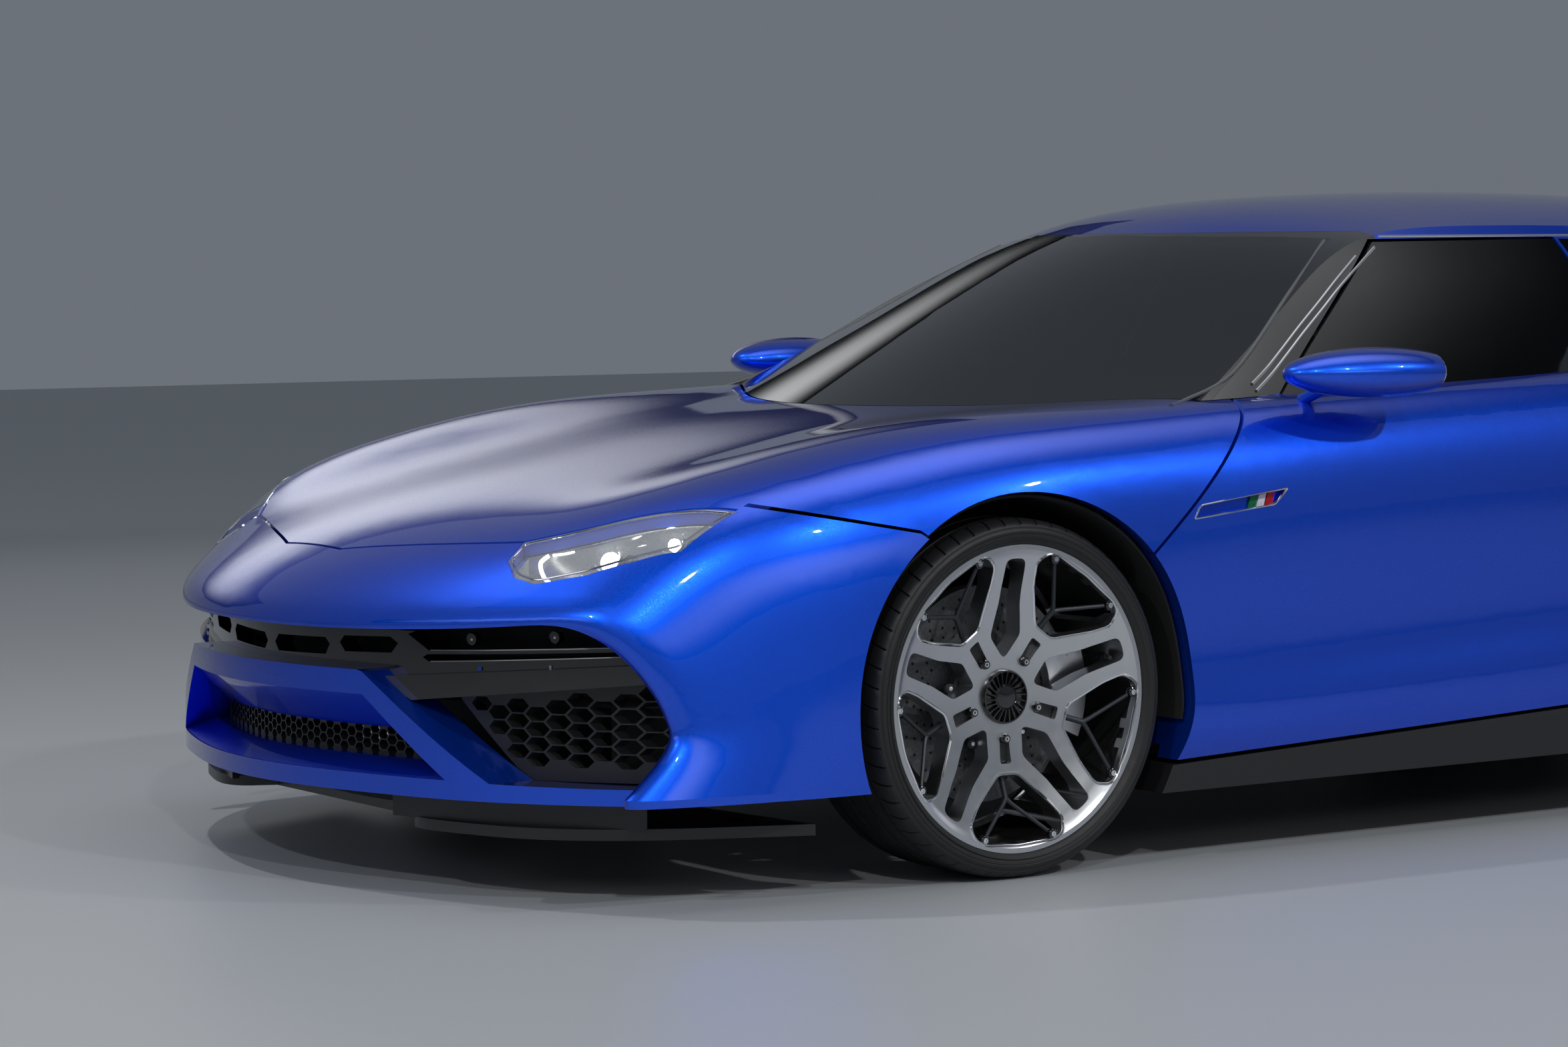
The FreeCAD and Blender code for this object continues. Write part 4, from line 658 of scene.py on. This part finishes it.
# The lamp's outline seen from above, as (ahead of the front axle, off the middle)
LAMP_LINE = [(0.796, 0.529), (0.757, 0.584), (0.717, 0.638), (0.672, 0.693), (0.627, 0.745), (0.586, 0.790),
             (0.546, 0.834), (0.600, 0.828), (0.654, 0.819), (0.719, 0.771), (0.780, 0.715), (0.841, 0.638),
             (0.852, 0.591), (0.839, 0.547)]


def lamp_ring(inset):
    """The lamp's outline drawn in by a distance and put down on its glass."""
    line = [Vector((FRONT_X + x, y, 0)) for x, y in LAMP_LINE]
    line = chamfered(line, 0.012, 3)
    middle = sum(line, Vector()) / len(line)
    n = len(line)
    ring = []
    for k in range(n):
        along = (line[(k + 1) % n] - line[k - 1]).normalized()
        inner = Vector((-along.y, along.x, 0))
        if inner.dot(middle - line[k]) < 0:
            inner = -inner
        p = line[k] + inner * inset
        hit = struck((p.x, p.y, 1.2), (0, 0, -1), "headlamp_covers")
        if hit is None:
            p = line[k] + inner * (inset + 0.003)
            hit = struck((p.x, p.y, 1.2), (0, 0, -1), "headlamp_covers")
        if hit:
            ring.append(hit[0])
    return ring


def lamp_border():
    rim, mask = Heap(), Heap()
    outer = lamp_ring(0.0045)
    rim.rod(outer, 0.0021, 8, wrap=True)
    inner = lamp_ring(0.0120)
    if len(inner) == len(outer):
        lift = Vector((0, 0, 0.0004))
        mask.sheet([[p + lift for p in outer + outer[:1]], [p + lift for p in inner + inner[:1]]])
    return rim, mask


rim, mask = lamp_border()
rim.join(rim.mirrored()).piece("headlamp_rims", CHROME, "root", "bright_metal")
if mask.points:
    mask.join(mask.mirrored()).piece("headlamp_masks", GLOSS, "root", "satin_black", tidy=False)


# Nose: a dark duct behind the slots, small lamps in the lamp slot and light lines under the slots

# The bumper's front seen from above, as (off the middle, ahead of the front axle)
BUMPER = [(0.0, 1.092), (0.2, 1.070), (0.38, 1.020), (0.56, 0.950), (0.70, 0.860), (0.80, 0.770),
          (0.865, 0.690), (0.925, 0.600)]
BAND_INSET = 0.0553


def on_bumper(y, z, inset):
    return Vector((FRONT_X + between_values(BUMPER, abs(y)) - inset, y, z))


duct = Heap()
count = 48
rows = []
for z, inset in ((0.345, BAND_INSET + 0.04), (0.36, 0.125), (0.49, 0.135), (0.505, BAND_INSET + 0.04)):
    rows.append([on_bumper(-0.80 + 1.6 * k / count, z, inset) for k in range(count + 1)])
duct.sheet(rows)
duct.piece("nose_duct", DULL, "root", tidy=False)

edges, lamps_small, lamp_rings, tabs = Heap(), Heap(), Heap(), Heap()
for line in ([(0.440, 0.4365), (0.60, 0.4445), (0.757, 0.4525)],
             [(0.440, 0.4165), (0.62, 0.4275), (0.798, 0.4385)]):
    dense = []
    for k in range(17):
        y = line[0][0] + (line[-1][0] - line[0][0]) * k / 16
        dense.append(on_bumper(y, between_values(line, y), BAND_INSET - 0.0005))
    edges.rod(dense, 0.0016, 6)
for y, z in ((0.505, 0.4590), (0.655, 0.4680)):
    place = on_bumper(y, z, BAND_INSET + 0.030)
    out = Vector((0.86, 0.5, 0))
    lamp_rings.turned(place, out, [(0.0120, 0), (0.0125, 0.014), (0.0110, 0.017), (0.0102, 0.014)], 24)
    lens = [(0.0100, 0.004), (0.0085, 0.010), (0.0045, 0.0135), (0.0004, 0.0145)]
    lamps_small.turned(place, out, lens, 20)
for y, z in ((0.545, 0.4100), (0.665, 0.4165)):
    place = on_bumper(y, z, BAND_INSET - 0.0002)
    corners = ((-0.007, -0.004), (0.007, -0.0035), (0.007, 0.0035), (-0.007, 0.003))
    tabs.slab([place + Vector((0, dy, dz)) for dy, dz in corners], (0.0025, 0.0012, 0))
for heap, word, m, slot in (
        (edges, "slot_edges", FAR_GREY, "bright_metal"), (lamp_rings, "nose_lamp_rings", GLOSS, "satin_black"),
        (lamps_small, "nose_lamps", REFLECTOR, "bright_metal"), (tabs, "nose_tabs", CHROME, "bright_metal")):
    heap.join(heap.mirrored()).piece(word, m, "root", slot)


# Bright strips along the screen pillars and over the side windows, and a grey strip beside the screen

for side, body_word in ((1, "left"), (-1, "right")):
    strips, grey = Heap(), Heap()
    line = [(0.640, 0.847), (0.570, 0.882), (0.510, 0.913), (0.445, 0.951), (0.379, 0.991), (0.300, 1.038),
            (0.229, 1.081), (0.150, 1.126), (0.090, 1.157)]
    for drop in (0.0, 0.013):
        path = laid_line([Vector((x, 0, z - drop)) for x, z in line], (0, -side, 0),
                         ("pillar_trims", "door_glass_left", "door_glass_right", "roof_panel"), 0.0008)
        if len(path) > 3:
            strips.rod(smooth_line(path, 3), 0.0032, 8)
    top = laid_line([Vector((0.060 - 1.0 * k / 24, 0, 1.1665)) for k in range(25)], (0, -side, 0),
                    ("roof_panel", "door_glass_left", "door_glass_right", "quarter_glass"), 0.0006)
    if len(top) > 3:
        strips.rod(top, 0.0030, 8)
    strips.piece(f"window_strips_{body_word}", CHROME, "root", "bright_metal")
    screen_edge = ((0.790, 0.822), (0.735, 0.795), (0.595, 0.772), (0.365, 0.660), (0.165, 0.545))
    inner = laid_line([Vector((x, side * y, 0)) for x, y in screen_edge], (0, 0, -1),
                      ("windscreen", "pillar_trims", "front_lid"), 0.0006)
    if len(inner) > 3:
        grey.rod(smooth_line(inner, 6), 0.0042, 8)
        grey.piece(f"screen_strip_{body_word}", GREY, "root", "satin_black")


# The recess behind each front wheel: bright rim and three colour blocks

MARK = [(-0.376, 0.642), (-0.392, 0.666), (-0.604, 0.692), (-0.572, 0.662)]
DOOR_SKIN, RECESS_LIP, RECESS_FLOOR = 0.9742, 0.965, 0.9582
for side, word in ((1, "left"), (-1, "right")):
    rim = Heap()
    line = chamfered([Vector((x, 0, z)) for x, z in MARK], 0.006, 3)
    path = []
    for p in line:
        hit = struck((FRONT_X + p.x, side * 1.3, p.z), (0, -side, 0), f"door_{word}")
        on_skin = hit is not None and abs(hit[0].y) >= RECESS_LIP
        path.append(hit[0] if on_skin else Vector((FRONT_X + p.x, side * DOOR_SKIN, p.z)))
    rim.rod(path, 0.0020, 8, wrap=True)
    rim.piece(f"marker_rim_{word}", CHROME, f"door_{word}", "bright_metal")
    for k, m in enumerate((GREEN, WHITE, SCARLET)):
        x0 = -0.515 - 0.021 * k
        low, high = 0.6605 + (x0 + 0.572) * -0.08, 0.6785 - (x0 + 0.5) * 0.12
        outline = ((x0, low), (x0 - 0.018, low + 0.001), (x0 - 0.026, high + 0.003), (x0 - 0.008, high))
        outline = [Vector((FRONT_X + x, side * RECESS_FLOOR, z)) for x, z in outline]
        block = Heap().slab(outline, (0, side * 0.0045, 0))
        bevel(block.piece(f"marker_block_{k}_{word}", m, f"door_{word}", "body_paint"), 0.0008)


# Mirror glass in each flat back

for side, word in ((1, "left"), (-1, "right")):
    lean = math.radians(-12)
    ring = []
    for k in range(40):
        a = 2 * math.pi * k / 40
        x, y, z = -0.1255, 0.0595 * math.cos(a), 0.0345 * math.sin(a)
        ahead = x * math.cos(lean) - y * math.sin(lean)
        outward = x * math.sin(lean) + y * math.cos(lean)
        ring.append(Vector((0.432 + ahead, side * (0.987 + outward), 0.905 + z)))
    Heap().slab(ring, (-0.0025, 0, 0)).piece(f"mirror_glass_{word}", CHROME, f"door_{word}", "bright_metal")


# Seats: a shell with simulated pads on it

def slab_pad(name, low, high, cuts=10):
    """A block between two corners whose faces are split into even squares."""
    shape = bmesh.new()
    bmesh.ops.create_cube(shape, size=1)
    bmesh.ops.subdivide_edges(shape, edges=shape.edges, cuts=cuts, use_grid_fill=True)
    for v in shape.verts:
        v.co = Vector([low[i] + (v.co[i] + 0.5) * (high[i] - low[i]) for i in range(3)])
    mesh = bpy.data.meshes.new(name)
    shape.to_mesh(mesh)
    shape.free()
    thing = bpy.data.objects.new(name, mesh)
    bpy.context.scene.collection.objects.link(thing)
    return thing


def puffed(thing, voxel=0.006, pressure=4.0, cap=0.024, frames=20):
    """The pad filled out by a cloth simulation under pressure. No point moves further than the cap."""
    remesh = thing.modifiers.new("even", "REMESH")
    remesh.mode = "VOXEL"
    remesh.voxel_size = voxel
    view = bpy.context.view_layer
    view.update()
    graph = bpy.context.evaluated_depsgraph_get()
    start = bpy.data.meshes.new_from_object(thing.evaluated_get(graph))
    thing.modifiers.clear()
    thing.data = start
    rest = [v.co.copy() for v in start.vertices]
    cloth = thing.modifiers.new("fill", "CLOTH")
    cloth.settings.use_pressure = True
    cloth.settings.uniform_pressure_force = pressure
    cloth.settings.effector_weights.gravity = 0
    cloth.settings.quality = 4
    cloth.point_cache.frame_end = frames
    scene_now = bpy.context.scene
    for k in range(1, frames + 1):
        scene_now.frame_set(k)
    graph = bpy.context.evaluated_depsgraph_get()
    full = bpy.data.meshes.new_from_object(thing.evaluated_get(graph))
    thing.modifiers.clear()
    for v, home in zip(full.vertices, rest):
        step = v.co - home
        if step.length > cap:
            v.co = home + step.normalized() * cap
    thing.data = full
    scene_now.frame_set(1)
    round_off = thing.modifiers.new("soften", "SUBSURF")
    round_off.levels = round_off.render_levels = 1
    thing.data.shade_smooth()
    return thing


SEAT_MIDDLE = 0.38
SHELL_HALF = 0.246
SHELL_SIDE = [(0.375, 0.255), (-0.250, 0.255), (-0.270, 0.330), (-0.410, 0.900), (-0.400, 0.985),
              (-0.370, 1.005), (-0.352, 0.985), (-0.352, 0.900), (-0.215, 0.400), (-0.140, 0.315),
              (0.375, 0.335), (0.405, 0.300)]
LEAN = math.radians(-18.8)


def leaning(thing):
    """The pad turned back with the seat's back and moved to the foot of it."""
    turn = Matrix.Rotation(LEAN, 3, "Y")
    foot = Vector((-0.185, 0, 0.420))
    for v in thing.data.vertices:
        v.co = turn @ v.co + foot
    return thing


# Each pad as its name, two opposite corners off the seat's middle, whether it leans with the back, and its fill
PADS = [("cushion", (-0.105, -0.150, 0.335), (0.385, 0.150, 0.392), False, 0.75),
        ("thigh_roll_in", (-0.090, -0.240, 0.330), (0.370, -0.172, 0.412), False, 0.85),
        ("thigh_roll_out", (-0.090, 0.172, 0.330), (0.370, 0.240, 0.412), False, 0.85),
        ("back", (-0.020, -0.145, 0.020), (0.034, 0.145, 0.400), True, 0.75),
        ("back_roll_in", (-0.020, -0.238, 0.010), (0.060, -0.168, 0.390), True, 0.85),
        ("back_roll_out", (-0.020, 0.168, 0.010), (0.060, 0.238, 0.390), True, 0.85),
        ("headrest", (-0.018, -0.120, 0.432), (0.026, 0.120, 0.560), True, 0.8)]
pads = []
for word, low, high, leans, fill in PADS:
    low, high = ((x, SEAT_MIDDLE + y, z) for x, y, z in (low, high))
    pad = slab_pad(f"seat_left_{word}", low, high)
    if leans:
        leaning(pad)
    pads.append((word, puffed(pad), fill))

for side, word in ((1, "left"), (-1, "right")):
    shell = Heap()
    line = chamfered([Vector((x, 0, z)) for x, z in SHELL_SIDE], 0.02, 3)
    edges = [side * (SEAT_MIDDLE + half) for half in (-SHELL_HALF, SHELL_HALF)]
    shell.skin([[Vector((p.x, y, p.z)) for p in line] for y in edges])
    shell = shell.piece(f"seat_shell_{word}", BLACK_HIDE, "root", "cabin_leather")
    bevel(shell, 0.008, 3)
    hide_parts(f"seat_{word}")
    for pad_word, pad, fill in pads:
        if side == 1:
            thing = pad
        else:
            mesh = pad.data.copy()
            for v in mesh.vertices:
                v.co.y = -v.co.y
            mesh.flip_normals()
            thing = bpy.data.objects.new(f"seat_right_{pad_word}", mesh)
            bpy.context.scene.collection.objects.link(thing)
            soft = thing.modifiers.new("soften", "SUBSURF")
            soft.levels = soft.render_levels = 1
        dress(thing, HIDE, "root")


# Floor, light and camera

def plane(name, size, place, turn=(0, 0, 0)):
    bpy.ops.mesh.primitive_plane_add(size=1, location=place, rotation=turn)
    thing = bpy.context.object
    thing.name = name
    thing.scale = (*size, 1)
    return thing


def glowing(name, colour, strength, edge):
    """A light panel's face, fading out towards its rims so that its mirror image has soft edges."""
    m = bpy.data.materials.new(name)
    m.use_nodes = True
    nodes = m.node_tree.nodes
    nodes.remove(nodes["Principled BSDF"])
    light = nodes.new("ShaderNodeEmission")
    light.inputs["Color"].default_value = (*colour, 1)
    where = nodes.new("ShaderNodeTexCoord")
    parts = nodes.new("ShaderNodeSeparateXYZ")
    wire(m, (where, "Generated", parts, "Vector"))
    fades = []
    for letter in ("X", "Y"):
        off = nodes.new("ShaderNodeMath")
        off.operation = "SUBTRACT"
        off.inputs[1].default_value = 0.5
        size = nodes.new("ShaderNodeMath")
        size.operation = "ABSOLUTE"
        fade = nodes.new("ShaderNodeMapRange")
        fade.interpolation_type = "SMOOTHSTEP"
        fade.inputs["From Min"].default_value = 0.5 - edge
        fade.inputs["From Max"].default_value = 0.5
        fade.inputs["To Min"].default_value = 1.0
        fade.inputs["To Max"].default_value = 0.0
        wire(m, (parts, letter, off, 0), (off, 0, size, 0), (size, 0, fade, "Value"))
        fades.append(fade)
    product = nodes.new("ShaderNodeMath")
    product.operation = "MULTIPLY"
    power = nodes.new("ShaderNodeMath")
    power.operation = "MULTIPLY"
    power.inputs[1].default_value = strength
    wire(m, (fades[0], "Result", product, 0), (fades[1], "Result", product, 1), (product, 0, power, 0),
         (power, 0, light, "Strength"), (light, "Emission", nodes["Material Output"], "Surface"))
    return m


floor = plane("floor", (60, 60), (0, 0, 0))
dress(floor, speckle(material("pale_floor", (0.42, 0.44, 0.46), 0.0, 0.45), 3, 0.40, 0.5))


def panel(name, place, aim, size, strength, colour, edge=0.45):
    """A lit panel that faces a point, seen only by light and in reflections."""
    thing = plane(name, size, place)
    thing.rotation_euler = (Vector(aim) - Vector(place)).to_track_quat("Z", "Y").to_euler()
    thing.data.materials.append(glowing(name + "_glow", colour, strength, edge))
    thing.visible_camera = False
    thing.visible_shadow = False
    return thing


def lamp(name, place, aim, size, power):
    data = bpy.data.lights.new(name, "AREA")
    data.shape = "DISK"
    data.size = size
    data.energy = power
    thing = bpy.data.objects.new(name, data)
    thing.location = place
    thing.rotation_euler = (Vector(aim) - Vector(place)).to_track_quat("-Z", "Y").to_euler()
    bpy.context.scene.collection.objects.link(thing)
    return thing


COOL_WHITE = (0.96, 0.98, 1.0)
panel("overhead_panel", (0.3, 0.6, 5.0), (0.3, 0.2, 0.4), (9.0, 4.5), 1.5, (0.95, 0.97, 1.0))
panel("side_panel", (1.2, 8.5, 3.2), (0.4, 0.0, 0.5), (11.0, 2.6), 1.5, COOL_WHITE)
panel("front_panel", (8.5, 1.0, 3.0), (1.5, 0.0, 0.4), (7.0, 2.4), 1.3, COOL_WHITE)
panel("rear_panel", (-8.0, 1.5, 3.2), (-1.5, 0.0, 0.5), (7.0, 2.6), 1.6, COOL_WHITE)
panel("far_panel", (0.0, -8.0, 3.4), (0.0, 0.0, 0.5), (10.0, 2.6), 1.4, COOL_WHITE)
SPOTS = [((4.2, 5.2, 4.4), 60), ((1.0, 5.6, 4.6), 60), ((6.4, 2.4, 4.2), 50), ((-2.2, 5.0, 4.6), 60),
         ((3.0, -1.5, 5.4), 60)]
for k, (place, power) in enumerate(SPOTS):
    lamp(f"spot_{k}", place, (0.6, 0.2, 0.5), 0.16, power)

scene = bpy.context.scene
world = bpy.data.worlds.new("studio")
scene.world = world
world.use_nodes = True
world.node_tree.nodes["Background"].inputs["Color"].default_value = (0.36, 0.40, 0.46, 1)
world.node_tree.nodes["Background"].inputs["Strength"].default_value = 0.42
scene.view_settings.view_transform = "Standard"

camera = bpy.data.objects.new("camera", bpy.data.cameras.new("camera"))
scene.collection.objects.link(camera)
camera.data.lens = 93.6
camera.data.sensor_width = 36
STANDPOINT = (5.675, 6.8217, 1.1139)
yaw, pitch, roll = math.radians(-123.718), math.radians(-3.596), math.radians(-0.488)
ahead = Vector((math.cos(pitch) * math.cos(yaw), math.cos(pitch) * math.sin(yaw), math.sin(pitch)))
side = ahead.cross(Vector((0, 0, 1))).normalized()
over = side.cross(ahead)
right = math.cos(roll) * side + math.sin(roll) * over
up = math.cos(roll) * over - math.sin(roll) * side
camera.matrix_world = Matrix((
    (right.x, up.x, -ahead.x, STANDPOINT[0]), (right.y, up.y, -ahead.y, STANDPOINT[1]),
    (right.z, up.z, -ahead.z, STANDPOINT[2]), (0, 0, 0, 1)))
camera.data.clip_end = 200
scene.camera = camera
